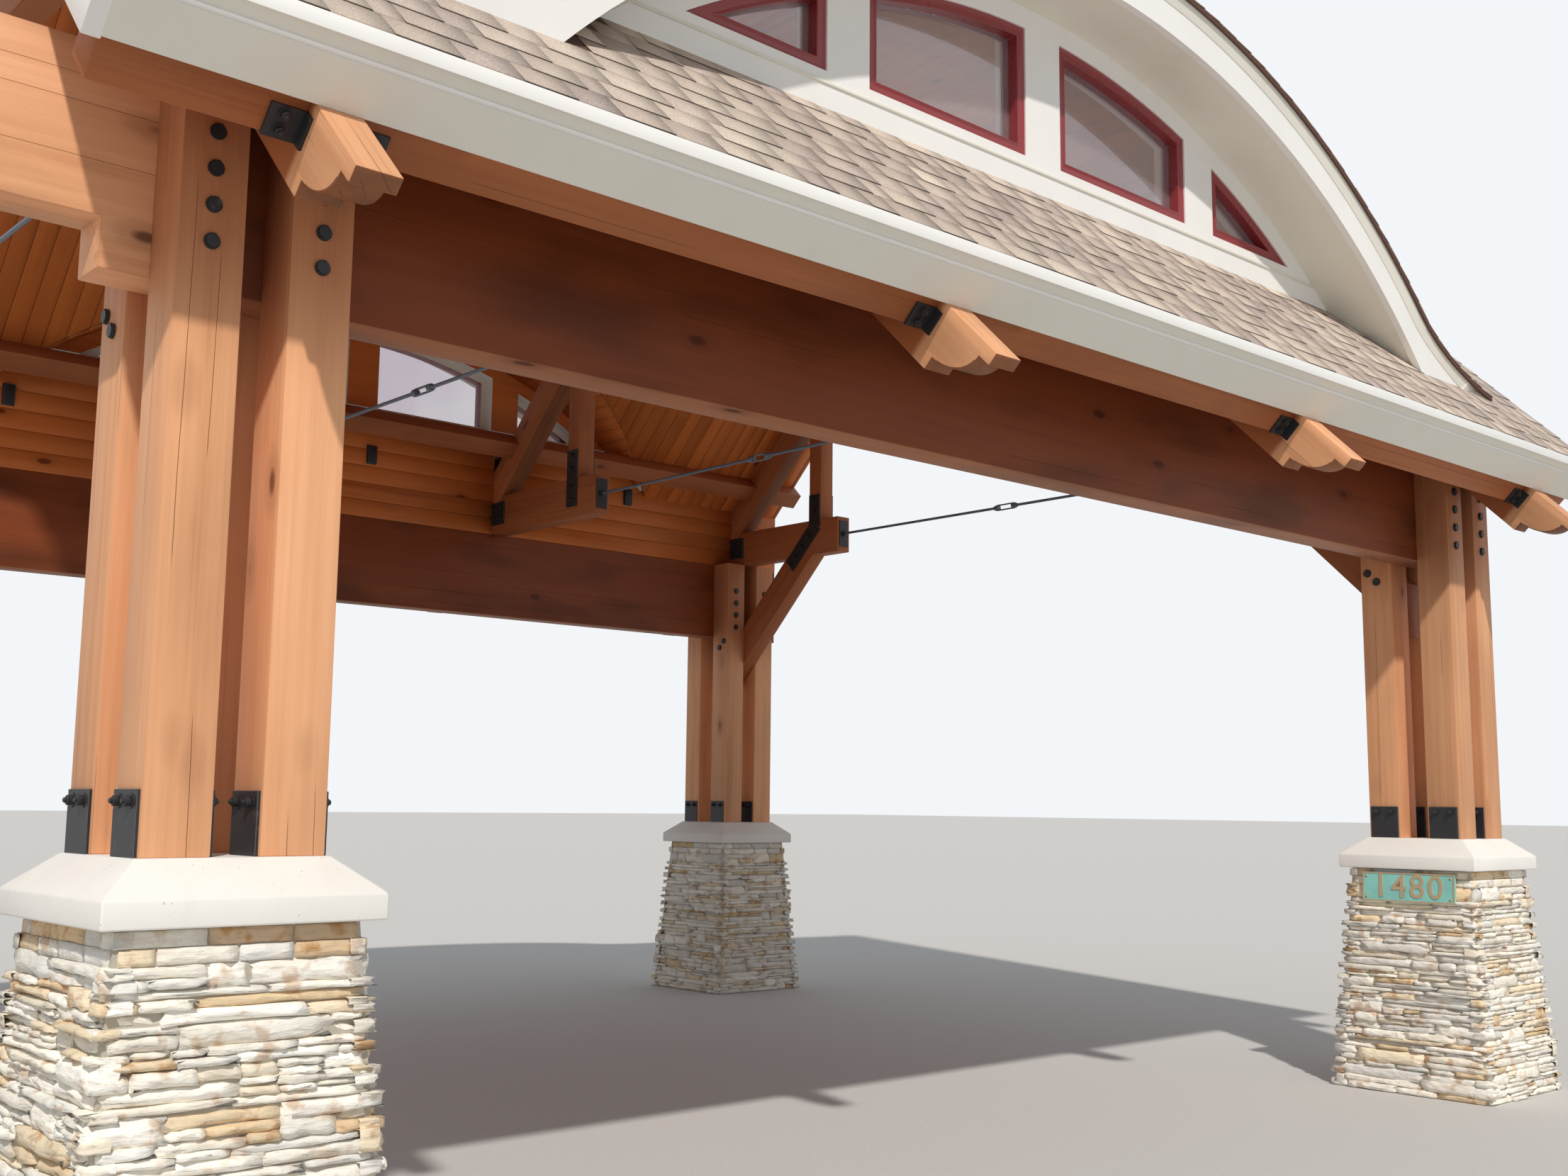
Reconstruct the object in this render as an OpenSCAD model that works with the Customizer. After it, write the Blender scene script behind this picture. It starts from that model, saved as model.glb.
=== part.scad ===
// Porch canopy of a large house: a timber porte-cochere that a car drives through.
// Four battered stone piers carry clusters of four posts, two deep eave beams and four
// hammer-beam trusses. The gabled roof has a wide arched dormer on each slope.
// Frame: X across the span, +X the side with the number plate; Y along the ridge, +Y towards
// the house; Z up from the ground. The origin is the middle of the outline on the ground.

/* [Bays] */
// Distance from one truss to the next
bay = 2620; // [2300:10:2900]
// Distance between the centre lines of the two eave beams
span = 6836; // [6500:2:7200]
// From the last truss to the house wall
wall_reach = 482; // [482:1:700]

/* [Piers] */
// Height of the stonework under a cap
pier_h = 1313; // [1100:1:1500]
// How far the stonework stands out past the posts at its top
pier_top_margin = 100; // [80:1:120]
// How far the stonework stands out past the posts at the ground
pier_foot_margin = 202; // [150:1:240]
// How far a cap's drip edge stands out past the posts
cap_margin = 142; // [130:1:180]
// Height of a cap's upright drip edge
cap_edge_h = 79; // [50:1:110]
// Height of a cap's sloping top
cap_slope_h = 106; // [60:1:140]
// Flat ledge left round the posts on top of a cap
cap_ledge = 14; // [8:1:30]

/* [Posts] */
// Side of a square post
post = 203; // [180:1:230]
// Height and width of a shoe plate at a post's foot
shoe_h = 190; // [150:1:240]
shoe_w = 176; // [120:1:178]
// Thickness of a steel plate
plate_t = 10; // [6:1:14]

/* [Eave beams] */
// Width of an eave beam
beam_w = 172; // [150:1:200]
// Depth of an eave beam
beam_d = 680; // [600:1:760]
// Height of the underside of the eave beams above the ground
beam_z = 3200; // [3100:1:3600]
// How far the full depth of a beam runs out past the first truss
beam_heel = 425; // [400:1:460]
// How far the tip of a beam's shaped tail runs out past the first truss
beam_tail = 1300; // [1200:1:1400]
// Height of the step at the root of a beam's tail
beam_step = 156; // [120:1:180]
// Length of the level ledge after the step
beam_ledge = 235; // [180:5:280]
// Length and height of the rounded belly of a beam's tail
beam_belly_len = 470; // [400:5:520]
beam_belly_h = 330; // [280:5:380]

/* [Trusses] */
// Thickness of every truss timber, and the gap between posts that it fills
truss_t = 146; // [120:1:170]
// Depth of a principal rafter
rafter_d = 254; // [220:1:280]
// Slope of the roof in degrees
pitch = 45; // [43:0.5:46]
// Depth of a hammer beam
hammer_d = 310; // [260:1:340]
// Distance from the ridge line to a hammer beam's inner end
hammer_end_x = 1885; // [1750:1:1950]
// Distance from the ridge line to the middle of a hammer post
hammer_post_x = 2175; // [2100:1:2250]
// Width of a hammer post and of a king post
truss_post_w = 150; // [120:1:180]
// Depth of a knee brace
brace_d = 248; // [200:1:270]
// Distance from the ridge line to the middle of a knee brace's top end
brace_top_x = 2375; // [2340:1:2420]
// Depth of a collar's underside below the rafters' ridge line
collar_drop = 2743; // [2620:1:2860]
// Depth of a collar
collar_d = 254; // [200:1:280]
// Diameter of a tie rod
rod_dia = 22; // [16:1:28]
// Length of a turnbuckle on a tie rod
turnbuckle_len = 210; // [160:1:260]

/* [Rafter tails] */
// Horizontal reach of the roof from a beam's outer face to the back of the fascia
eave_reach = 616; // [560:1:680]
// Length of a rafter's tail past the back of the fascia, along the slope
tail_len = 390; // [340:1:440]
// Length of a tail's square tip, along the slope
tip_len = 69; // [50:1:90]
// Thickness of a tail's tip
tip_t = 57; // [45:1:70]
// Length of a tail's rounded belly, along the slope
belly_len = 201; // [150:1:220]
// Depth of a tail's rounded belly
belly_d = 140; // [110:1:150]

/* [Roof] */
// How far the roof runs out past the first truss
rake_reach = 667; // [600:1:740]
// Thickness of the boarded ceiling
ceiling_t = 38; // [25:1:50]
// Thickness of the roof above the ceiling boards
roof_t = 212; // [180:1:240]
// Thickness of the fascia boards and of the rake boards
fascia_t = 38; // [25:1:45]
// Height of a fascia's upper band, and how far it lies back from the lower board
band_h = 96; // [80:1:110]
band_back = 26; // [15:1:32]
// Height of the drip edge's upright face, in line with the lower board at its foot
drip_h = 40; // [25:1:45]
// Width of a purlin, along the slope
purlin_w = 152; // [120:1:180]
// Depth of a purlin, square to the slope
purlin_d = 138; // [110:1:160]
// Purlins on each slope above the eave purlin
purlin_rows = 3; // [1:1:3]
// Distance from one purlin to the next, along the slope
purlin_step = 1350; // [1330:5:1370]
// Depth of the ridge beam
ridge_d = 330; // [280:1:380]

/* [Dormers] */
// Height of the top of the window heads above the ground
head_top = 5390; // [5370:1:5410]
// Radius of the window heads
head_r = 4090; // [3900:1:4300]
// Width of the wall's band between the window heads and the arched fascia
head_band = 100; // [80:1:120]
// Width of the arched fascia
arch_board = 150; // [120:1:180]
// Thickness of a dormer's arched roof
arch_t = 235; // [200:1:260]
// How far the arched roof runs out past the dormer's wall
arch_reach = 370; // [300:1:420]
// How far the arched roof's edge stands out past its fascia
arch_lip = 30; // [15:1:40]
// How far the arched roof's foot sweeps out on each side, and where the sweep starts above the roof
foot_reach = 505; // [400:1:560]
foot_rise = 354; // [300:1:380]
// The same two sizes of the arched fascia's foot
board_foot_reach = 269; // [200:1:300]
board_foot_rise = 300; // [250:1:320]
// Thickness of the wall's outer boarding, past the beam's face
board_t = 25; // [18:1:35]
// Height of the window sills above the ground
sill_z = 4741; // [4720:1:4790]
// Half the width of the post between the two middle windows
centre_gap = 130; // [100:1:160]
// Width of a middle window
middle_w = 1060; // [1000:1:1120]
// Width of the post between a middle window and a side window
side_gap = 255; // [220:1:290]
// Width of a window frame's bars
sash_w = 52; // [40:1:70]
// Depth of a window frame
sash_d = 70; // [50:1:90]
// Thickness of the glass
glass_t = 8; // [4:1:12]

/* [Plate and lights] */
// Width, height and thickness of the house number plate
sign_w = 580; // [400:5:640]
sign_h = 175; // [120:1:220]
sign_t = 20; // [10:1:30]
// Side of a square wall light
light_w = 110; // [80:1:140]
// How far a wall light stands out
light_t = 30; // [20:1:50]
// Distance of the outer lights from the dormer's middle, and of the middle light
light_gap = 2625; // [2550:5:2700]
light_shift = 100; // [0:5:200]

/* [Hidden] */
eps = 1;
far = 20000;

// Lengthways: the outline runs from the tips of the beam tails to the house wall
trusses = 4;
length = beam_tail + (trusses - 1) * bay + wall_reach;
wall_y = length / 2;
function truss_y(i) = beam_tail - length / 2 + i * bay;
rake_y = truss_y(0) - rake_reach;
dormer_y = (truss_y(0) + truss_y(trusses - 1)) / 2;

// Heights of the carrying pieces
cap_z = pier_h + cap_edge_h;
post_z = cap_z + cap_slope_h;
beam_top = beam_z + beam_d;
hammer_top = beam_top + hammer_d;

// Across: the beam's faces, and the height of the rafters' top edges at the ridge
beam_in = span / 2 - beam_w / 2;
beam_out = span / 2 + beam_w / 2;
ridge_z = beam_top + beam_out * tan(pitch) + rafter_d / cos(pitch);
collar_z = ridge_z - collar_drop;
eave_u = (beam_out + eave_reach) / cos(pitch);
roof_top = ceiling_t + roof_t;
wall_face = beam_out + board_t;
arch_face = wall_face + arch_reach;
arch_z = head_top - head_r;
arch_r = head_r + head_band;
arch_out = arch_r + arch_t;
arch_in = arch_r + 12;
king_x = truss_post_w / 2;

// A point in the X-Z plane from its distance down the slope and its depth below the rafters' top
function on_slope(u, n) = [
    u * cos(pitch) - n * sin(pitch),
    ridge_z - u * sin(pitch) - n * cos(pitch)
];
// The distance down the slope at which a line of that depth has the given x
function u_at(x, n) = (x + n * sin(pitch)) / cos(pitch);
// The height of the rafters' underside at x
function rafter_under(x) = ridge_z - rafter_d / cos(pitch) - x * tan(pitch);
// Quarter of an ellipse, from its end along the first axis to its end along the second
function quarter(c, a, b, steps) = [
    for (i = [0 : steps]) [c[0] + a * cos(90 * i / steps), c[1] + b * sin(90 * i / steps)]
];

// Extrudes an X-Z outline along Y, from y0 over the given length
module along_y(y0, len) {
    translate([0, y0 + len, 0])
        rotate([90, 0, 0])
            linear_extrude(len)
                children();
}

// Extrudes a Y-Z outline along X, from x0 over the given length
module along_x(x0, len) {
    translate([x0, 0, 0])
        rotate([90, 0, 90])
            linear_extrude(len)
                children();
}

// A rectangle in the slope's own frame, as an X-Z outline
module slope_rect(u0, u1, n0, n1) {
    polygon([on_slope(u0, n0), on_slope(u1, n0), on_slope(u1, n1), on_slope(u0, n1)]);
}

module side(s) {
    scale_x = s > 0 ? 0 : 1;
    mirror([scale_x, 0, 0])
        children();
}

module both_sides() {
    side(1)
        children();
    side(-1)
        children();
}

// Piers and caps: both taper from one margin round the cluster of posts to another
function cluster_x(margin) = beam_w + 2 * post + 2 * margin;
function cluster_y(margin) = truss_t + 2 * post + 2 * margin;

module taper(w0, w1, z0, z1) {
    polygon([[-w0 / 2, z0], [w0 / 2, z0], [w1 / 2, z1], [-w1 / 2, z1]]);
}

module frustum(m0, m1, z0, z1) {
    intersection() {
        along_y(-far / 2, far)
            taper(cluster_x(m0), cluster_x(m1), z0, z1);
        along_x(-far / 2, far)
            taper(cluster_y(m0), cluster_y(m1), z0, z1);
    }
}

module pier() {
    color("#a89a84")
        frustum(pier_foot_margin, pier_top_margin, 0, pier_h);
}

module cap() {
    color("#efe9dc") {
        frustum(cap_margin, cap_margin, pier_h, cap_z);
        frustum(cap_margin, cap_ledge, cap_z, post_z);
    }
}

// Posts: a cluster of four with the beam and the truss between them
module at_posts() {
    for (dx = [-1, 1], dy = [-1, 1])
        translate([dx * (beam_w + post) / 2, dy * (truss_t + post) / 2, 0])
            children();
}

module posts() {
    color("#b9683c")
        at_posts()
            translate([-post / 2, -post / 2, post_z])
                cube([post, post, beam_top - post_z]);
}

module shoes() {
    color("#2c2c2e")
        at_posts()
            for (face = [-1, 1])
                translate([-shoe_w / 2, face * (post + plate_t) / 2 - plate_t / 2, post_z])
                    cube([shoe_w, plate_t, shoe_h]);
}

module at_pier(s, i) {
    translate([s * span / 2, truss_y(i), 0])
        children();
}

module post_shoes() {
    for (s = [-1, 1], i = [0, trusses - 1])
        at_pier(s, i)
            shoes();
}

// Eave beams, with a stepped and rounded tail at the outer end
module eave_beam() {
    heel = truss_y(0) - beam_heel;
    tip = truss_y(0) - beam_tail;
    ledge_z = beam_z + beam_step;
    tip_z = ledge_z + beam_belly_h;
    belly = quarter([heel - beam_ledge, tip_z], -beam_belly_len, -beam_belly_h, 12);
    color("#b9683c")
        along_x(beam_in, beam_w)
            polygon(concat(
                [[wall_y, beam_z], [heel, beam_z], [heel, ledge_z]],
                [for (i = [0 : 12]) belly[12 - i]],
                [[tip, tip_z], [tip, beam_top], [wall_y, beam_top]]));
}

// Truss timbers
module at_trusses(list) {
    for (i = list)
        along_y(truss_y(i) - truss_t / 2, truss_t)
            children();
}

all_trusses = [0 : trusses - 1];
end_trusses = [0, trusses - 1];
tip_u = eave_u + tail_len;
step_u = tip_u - tip_len - belly_len;

module rafter_outline() {
    polygon(concat(
        [on_slope(u_at(king_x, rafter_d), rafter_d), on_slope(u_at(king_x, 0), 0),
            on_slope(tip_u, 0), on_slope(tip_u, tip_t)],
        [for (p = quarter([step_u, tip_t], belly_len, belly_d, 10)) on_slope(p[0], p[1])],
        [on_slope(step_u, rafter_d)]));
}

module principal_rafters() {
    color("#b9683c")
        both_sides()
            at_trusses(all_trusses)
                rafter_outline();
}

module hammer_beams() {
    slope_back = hammer_d / tan(pitch);
    color("#b9683c")
        both_sides()
            at_trusses(all_trusses)
                polygon([[hammer_end_x, beam_top], [beam_out, beam_top],
                    [beam_out - slope_back, hammer_top], [hammer_end_x, hammer_top]]);
}

module hammer_posts() {
    x0 = hammer_post_x - truss_post_w / 2;
    x1 = hammer_post_x + truss_post_w / 2;
    color("#b9683c")
        both_sides()
            at_trusses(all_trusses)
                polygon([[x0, hammer_top], [x1, hammer_top],
                    [x1, rafter_under(x1)], [x0, rafter_under(x0)]]);
}

// The braces stand at 45 degrees, whatever the pitch
brace_sum = brace_top_x + beam_top;
brace_half = brace_d / sqrt(2);
module knee_braces() {
    lower = brace_sum - brace_half;
    upper = brace_sum + brace_half;
    color("#b9683c")
        both_sides()
            at_trusses(end_trusses)
                polygon([[upper - beam_top, beam_top], [beam_in, upper - beam_in],
                    [beam_in, lower - beam_in], [lower - beam_top, beam_top]]);
}

module collars() {
    x = hammer_post_x - truss_post_w / 2;
    color("#b9683c")
        at_trusses(all_trusses)
            translate([-x, collar_z])
                square([2 * x, collar_d]);
}

module ridge_outline(bottom) {
    shoulder = ridge_z - king_x * tan(pitch);
    polygon([[-king_x, bottom], [king_x, bottom], [king_x, shoulder], [0, ridge_z],
        [-king_x, shoulder]]);
}

module king_posts() {
    color("#b9683c")
        at_trusses(all_trusses)
            ridge_outline(collar_z + collar_d);
}

// Steel of the trusses
rod_z = beam_top + 160;
anchor_h = 234;
anchor_w = 100;
module tie_rods() {
    half = hammer_end_x - plate_t;
    color("#5b6a78")
        for (i = all_trusses) {
            translate([0, truss_y(i), rod_z])
                rotate([0, 90, 0]) {
                    cylinder(h = 2 * half, d = rod_dia, center = true, $fn = 24);
                    cylinder(h = turnbuckle_len, d = 2 * rod_dia, center = true, $fn = 24);
                }
            for (s = [-1, 1])
                translate([s * (half + plate_t / 2) - plate_t / 2, truss_y(i) - anchor_w / 2,
                    rod_z - anchor_h / 2])
                    cube([plate_t, anchor_w, anchor_h]);
        }
}

// Straps lie on both faces of a truss: bent over the brace at the ends, straight between
strap_w = 140;
strap_top = hammer_top + 230;
bend_z = beam_top + 245;
module strap_outline(bent) {
    x0 = hammer_post_x - strap_w / 2;
    bottom = bent ? bend_z : beam_top + 84;
    translate([x0, bottom])
        square([strap_w, strap_top - bottom]);
    if (bent) {
        leg = 460;
        corner = strap_w / 2 * tan(22.5);
        translate([hammer_post_x, bend_z])
            rotate([0, 0, -45])
                translate([-strap_w / 2, -leg])
                    square([strap_w, leg + corner]);
    }
}

module on_truss_faces(list) {
    for (i = list, face = [-1, 1])
        along_y(truss_y(i) + face * (truss_t + plate_t) / 2 - plate_t / 2, plate_t)
            children();
}

module truss_straps() {
    color("#232325")
        both_sides() {
            on_truss_faces(end_trusses)
                strap_outline(true);
            on_truss_faces([1, 2])
                strap_outline(false);
        }
}

// The heel plates stop at the plank walls, and run out over the rafter at the open gable
heel_plate_h = 190;
heel_plate_x = beam_in - 182;
heel_plate_out = beam_out + 92;
module heel_plates() {
    z0 = beam_top + 70;
    color("#232325")
        both_sides() {
            on_truss_faces(all_trusses)
                translate([heel_plate_x, z0])
                    square([beam_in - eps - heel_plate_x, heel_plate_h]);
            along_y(truss_y(0) - truss_t / 2 - plate_t, plate_t)
                translate([heel_plate_x, z0])
                    square([heel_plate_out - heel_plate_x, heel_plate_h]);
        }
}

// Purlins run in pieces between the trusses, from the rake to the wall
module between_trusses(y_first, y_last) {
    half = truss_t / 2;
    along_y(y_first, truss_y(0) - half - y_first)
        children();
    for (i = [1 : trusses - 1])
        along_y(truss_y(i - 1) + half, bay - truss_t)
            children();
    along_y(truss_y(trusses - 1) + half, y_last - truss_y(trusses - 1) - half)
        children();
}

module eave_purlins() {
    color("#b9683c")
        both_sides()
            between_trusses(rake_y, wall_y)
                slope_rect(eave_u - purlin_w, eave_u, 0, purlin_d);
}

module upper_purlins() {
    color("#b9683c")
        both_sides()
            between_trusses(rake_y, wall_y)
                for (k = [1 : purlin_rows])
                    slope_rect(eave_u - k * purlin_step - purlin_w, eave_u - k * purlin_step,
                        0, purlin_d);
}

module ridge_beam() {
    color("#b9683c")
        between_trusses(rake_y, wall_y)
            ridge_outline(ridge_z - ridge_d);
}

// Angle plates that hold the eave purlins to the rafters' sides
angle_leg = 110;
angle_wing = 50;
angle_n0 = 40;
angle_n1 = 142;
module purlin_angles() {
    color("#232325")
        both_sides()
            for (i = all_trusses, face = [-1, 1]) {
                y_rafter = truss_y(i) + face * truss_t / 2;
                y_leg = face > 0 ? y_rafter : y_rafter - angle_leg;
                y_wing = face > 0 ? y_rafter : y_rafter - plate_t;
                along_y(y_leg, angle_leg)
                    slope_rect(eave_u, eave_u + plate_t, angle_n0, angle_n1);
                along_y(y_wing, plate_t)
                    slope_rect(eave_u, eave_u + angle_wing, angle_n0, angle_n1);
            }
}

// The dormer's round spaces, about an axis along X
module drum(r, x0, x1) {
    translate([x0, dormer_y, arch_z])
        rotate([0, 90, 0])
            cylinder(h = x1 - x0, r = r, $fn = 720);
}

// Everything above the line of the given depth, on the near slope
module above_slope(n) {
    along_y(-far / 2, far)
        polygon([on_slope(-far, n), on_slope(far, n), on_slope(far, n - far), on_slope(-far, n - far)]);
}

dormer_back = 1500;

// The foot of an arch sweeps out to the roof: a curve from the arc to the roof's surface
foot_z = ridge_z + roof_top / cos(pitch) - arch_face * tan(pitch);
function arc_y(r, z) = sqrt(pow(r, 2) - pow(z - arch_z, 2));
function sweep(a, b, c, steps) = [
    for (i = [0 : steps]) let (t = i / steps) pow(1 - t, 2) * a + 2 * t * (1 - t) * b + pow(t, 2) * c
];
function foot_curve(r, reach, rise, fall) =
    let (
        a = [arc_y(r, foot_z + rise), foot_z + rise],
        c = [arc_y(r, foot_z) + reach, foot_z],
        lean = -a[0] / (a[1] - arch_z),
        y = (c[1] - a[1] + lean * a[0] + fall * c[0]) / (lean + fall)
    )
    sweep(a, [y, a[1] + lean * (y - a[0])], c, 8);

module foot(r, reach, rise, fall, x0, x1) {
    curve = foot_curve(r, reach, rise, fall);
    start = curve[0];
    stop = curve[8];
    bottom = foot_z - arch_t;
    for (s = [0, 1])
        translate([0, dormer_y, 0])
            mirror([0, s, 0])
                along_x(x0, x1 - x0)
                    polygon(concat(
                        [[start[0] - 60, bottom], [start[0] - 60, start[1] - 20]],
                        [for (i = [1 : 8]) curve[i]],
                        [[stop[0], bottom]]));
}

// The outlines of an arched roof and of its fascia, filled, with both feet
module arch_body(x0, x1) {
    drum(arch_out, x0, x1);
    foot(arch_out, foot_reach, foot_rise, 0.2, x0, x1);
}

module board_body(x0, x1) {
    drum(arch_r + arch_board, x0, x1);
    foot(arch_r + arch_board, board_foot_reach, board_foot_rise, 0.38, x0, x1);
}

// The part of a slope between two depths, open where the dormer stands
module slope_layer(n0, n1, hole_r) {
    difference() {
        along_y(rake_y, wall_y - rake_y)
            polygon([on_slope(u_at(0, n0), n0), on_slope(u_at(0, n1), n1), on_slope(eave_u, n1),
                on_slope(eave_u, n0)]);
        intersection() {
            drum(hole_r, dormer_back, wall_face);
            translate([0, -far / 2, arch_z])
                cube([far, far, far]);
        }
    }
}

module ceiling_layer() {
    color("#b0683a")
        slope_layer(0, -ceiling_t, arch_in);
}

module roof_layer() {
    color("#b8a48f")
        slope_layer(-ceiling_t, -roof_top, arch_out);
}

// Wall of planks that stands on an eave beam, and rises into the dormer up to the sills
plank_top = sill_z - 40;
module plank_wall() {
    color("#b0683a")
        difference() {
            intersection() {
                union() {
                    for (i = [1 : trusses - 1])
                        translate([beam_in, truss_y(i - 1) + truss_t / 2, beam_top])
                            cube([beam_w, bay - truss_t, plank_top - beam_top]);
                    translate([beam_in, truss_y(trusses - 1) + truss_t / 2, beam_top])
                        cube([beam_w, wall_reach - truss_t / 2, plank_top - beam_top]);
                }
                union() {
                    drum(arch_in, dormer_back, wall_face);
                    below_slope(0);
                }
            }
        }
}

module below_slope(n) {
    along_y(-far / 2, far)
        polygon([on_slope(-far, n), on_slope(far, n), on_slope(far, n + far), on_slope(-far, n + far)]);
}

// Arched roof of a dormer, from the ceiling out to the back of its fascia
module dormer_shell() {
    difference() {
        intersection() {
            drum(arch_out, dormer_back, arch_face - fascia_t);
            above_slope(-ceiling_t);
            translate([0, -far / 2, arch_z])
                cube([far, far, far]);
        }
        drum(arch_in, dormer_back - eps, arch_face);
        intersection() {
            below_slope(-roof_top);
            translate([wall_face, -far / 2, 0])
                cube([far, far, far]);
        }
    }
}

// Its feet, on the roof's surface, and its edge over the fascia
foot_back = arch_face - foot_rise - 40;
module dormer_edge() {
    intersection() {
        difference() {
            arch_body(foot_back, arch_face - fascia_t);
            drum(arch_in, foot_back - eps, arch_face);
        }
        above_slope(-roof_top);
    }
    intersection() {
        difference() {
            arch_body(arch_face - fascia_t, arch_face + arch_lip);
            board_body(arch_face - fascia_t - eps, arch_face + arch_lip + eps);
        }
        above_slope(-roof_top);
    }
}

module dormer_roof() {
    color("#b8a48f") {
        dormer_shell();
        dormer_edge();
    }
}

// Window openings: boxes on the sill, cut off by the head's arc, drawn in by an edge width
window_y = [centre_gap, centre_gap + middle_w + side_gap];
window_w = [middle_w, 2 * middle_w];
module windows(x0, depth, inset) {
    for (k = [0, 1], s = [0, 1])
        translate([0, dormer_y, 0])
            mirror([0, s, 0])
                intersection() {
                    translate([x0, window_y[k] + inset, sill_z + inset])
                        cube([depth, window_w[k] - 2 * inset, head_r]);
                    translate([0, -dormer_y, 0])
                        drum(head_r - inset, x0 - eps, x0 + depth + eps);
                }
}

module dormer_wall() {
    color("#f2efe8")
        difference() {
            intersection() {
                union() {
                    translate([beam_in, -far / 2, plank_top])
                        cube([wall_face - beam_in, far, far]);
                    translate([beam_out, -far / 2, 0])
                        cube([board_t, far, far]);
                }
                drum(arch_in, dormer_back, wall_face + eps);
                above_slope(-roof_top);
            }
            windows(beam_in - eps, beam_w + board_t + 2 * eps, 0);
        }
}

sash_x = beam_out - sash_d - 10;
module window_frames() {
    color("#6e2b26")
        both_sides()
            difference() {
                windows(sash_x, sash_d, 0);
                windows(sash_x - eps, sash_d + 2 * eps, sash_w);
            }
}

// A pane's arc is a run of short chords, so that it lies just inside its frame
pane_r = head_r - sash_w;
pane_z = sill_z + sash_w;
pane_steps = 24;
function pane_start(k) = window_y[k] + sash_w;
function pane_end(k) = min(window_y[k] + window_w[k] - sash_w,
    sqrt(pow(pane_r, 2) - pow(pane_z - arch_z, 2)));
function pane_y(k, i) = pane_end(k) + (pane_start(k) - pane_end(k)) * i / pane_steps;
module pane(k) {
    polygon(concat(
        [[pane_start(k), pane_z], [pane_end(k), pane_z]],
        [for (i = [k : pane_steps]) [pane_y(k, i), arch_z + sqrt(pow(pane_r, 2) - pow(pane_y(k, i), 2))]]));
}

module window_glass() {
    color("#9fb4bd", 0.4)
        both_sides()
            for (k = [0, 1], s = [0, 1])
                translate([0, dormer_y, 0])
                    mirror([0, s, 0])
                        along_x(sash_x + sash_d / 2, glass_t)
                            pane(k);
}

// The arched fascia closes the front of the arched roof and stops on the roof's surface
module dormer_fascias() {
    color("#f2efe8")
        both_sides()
            difference() {
                intersection() {
                    board_body(arch_face - fascia_t, arch_face);
                    above_slope(-roof_top);
                }
                drum(arch_r, arch_face - fascia_t - eps, arch_face + eps);
            }
}

// Fascia along an eave: a board square to the slope, a band set back above it and a drip edge
module eave_fascia() {
    back = eave_u;
    front = eave_u + fascia_t;
    band = front - band_back;
    drip = drip_h * cos(pitch);
    color("#e2d8c8")
        along_y(rake_y, wall_y - rake_y)
            polygon([on_slope(back, 0), on_slope(front, 0), on_slope(front, -roof_top + band_h),
                on_slope(band, -roof_top + band_h), on_slope(band, -roof_top + drip),
                on_slope(front, -roof_top + drip), on_slope(front - drip, -roof_top),
                on_slope(back, -roof_top)]);
}

// Rake boards cover the roof's edge at the outer gable
rake_lip = 8;
module rake_boards() {
    color("#f2efe8")
        both_sides()
            along_y(rake_y - fascia_t, fascia_t)
                polygon([on_slope(u_at(eps, -roof_top), -roof_top), on_slope(eave_u + fascia_t, -roof_top),
                    on_slope(eave_u + fascia_t, rake_lip), on_slope(u_at(eps, rake_lip), rake_lip)]);
}

// Three lights on each plank wall, under the dormer, and the number plate on the inner pier
light_z = 4385;
light_y = [dormer_y - light_gap, dormer_y + light_shift, dormer_y + light_gap];
module wall_lights() {
    color("#1d1d1f")
        both_sides()
            for (y = light_y)
                translate([beam_in - light_t, y - light_w / 2, light_z - light_w / 2])
                    cube([light_t, light_w, light_w]);
}

// The plate lies on the pier's sloping face
function pier_face_y(z) = truss_y(trusses - 1)
    - cluster_y(pier_foot_margin + (pier_top_margin - pier_foot_margin) * z / pier_h) / 2;
sign_gap = 22;
sign_shift = 7;
module number_plate() {
    z0 = pier_h - sign_gap - sign_h;
    z1 = pier_h - sign_gap;
    color("#6fb0ad")
        along_x(span / 2 + sign_shift - sign_w / 2, sign_w)
            polygon([[pier_face_y(z0), z0], [pier_face_y(z1), z1], [pier_face_y(z1) - sign_t, z1],
                [pier_face_y(z0) - sign_t, z0]]);
}

at_pier(1, 0) pier();  // pier_outer_near
at_pier(-1, 0) pier();  // pier_outer_far
at_pier(1, trusses - 1) pier();  // pier_inner_near
at_pier(-1, trusses - 1) pier();  // pier_inner_far
at_pier(1, 0) cap();  // cap_outer_near
at_pier(-1, 0) cap();  // cap_outer_far
at_pier(1, trusses - 1) cap();  // cap_inner_near
at_pier(-1, trusses - 1) cap();  // cap_inner_far
at_pier(1, 0) posts();  // posts_outer_near
at_pier(-1, 0) posts();  // posts_outer_far
at_pier(1, trusses - 1) posts();  // posts_inner_near
at_pier(-1, trusses - 1) posts();  // posts_inner_far
post_shoes();
side(1) eave_beam();  // eave_beam_near
side(-1) eave_beam();  // eave_beam_far
principal_rafters();
hammer_beams();
hammer_posts();
knee_braces();
collars();
king_posts();
tie_rods();
truss_straps();
heel_plates();
eave_purlins();
upper_purlins();
ridge_beam();
purlin_angles();
side(1) plank_wall();  // plank_wall_near
side(-1) plank_wall();  // plank_wall_far
side(1) ceiling_layer();  // ceiling_near
side(-1) ceiling_layer();  // ceiling_far
side(1) roof_layer();  // roof_near
side(-1) roof_layer();  // roof_far
side(1) eave_fascia();  // eave_fascia_near
side(-1) eave_fascia();  // eave_fascia_far
rake_boards();
side(1) dormer_roof();  // dormer_roof_near
side(-1) dormer_roof();  // dormer_roof_far
side(1) dormer_wall();  // dormer_wall_near
side(-1) dormer_wall();  // dormer_wall_far
dormer_fascias();
window_frames();
window_glass();
wall_lights();
number_plate();
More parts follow.
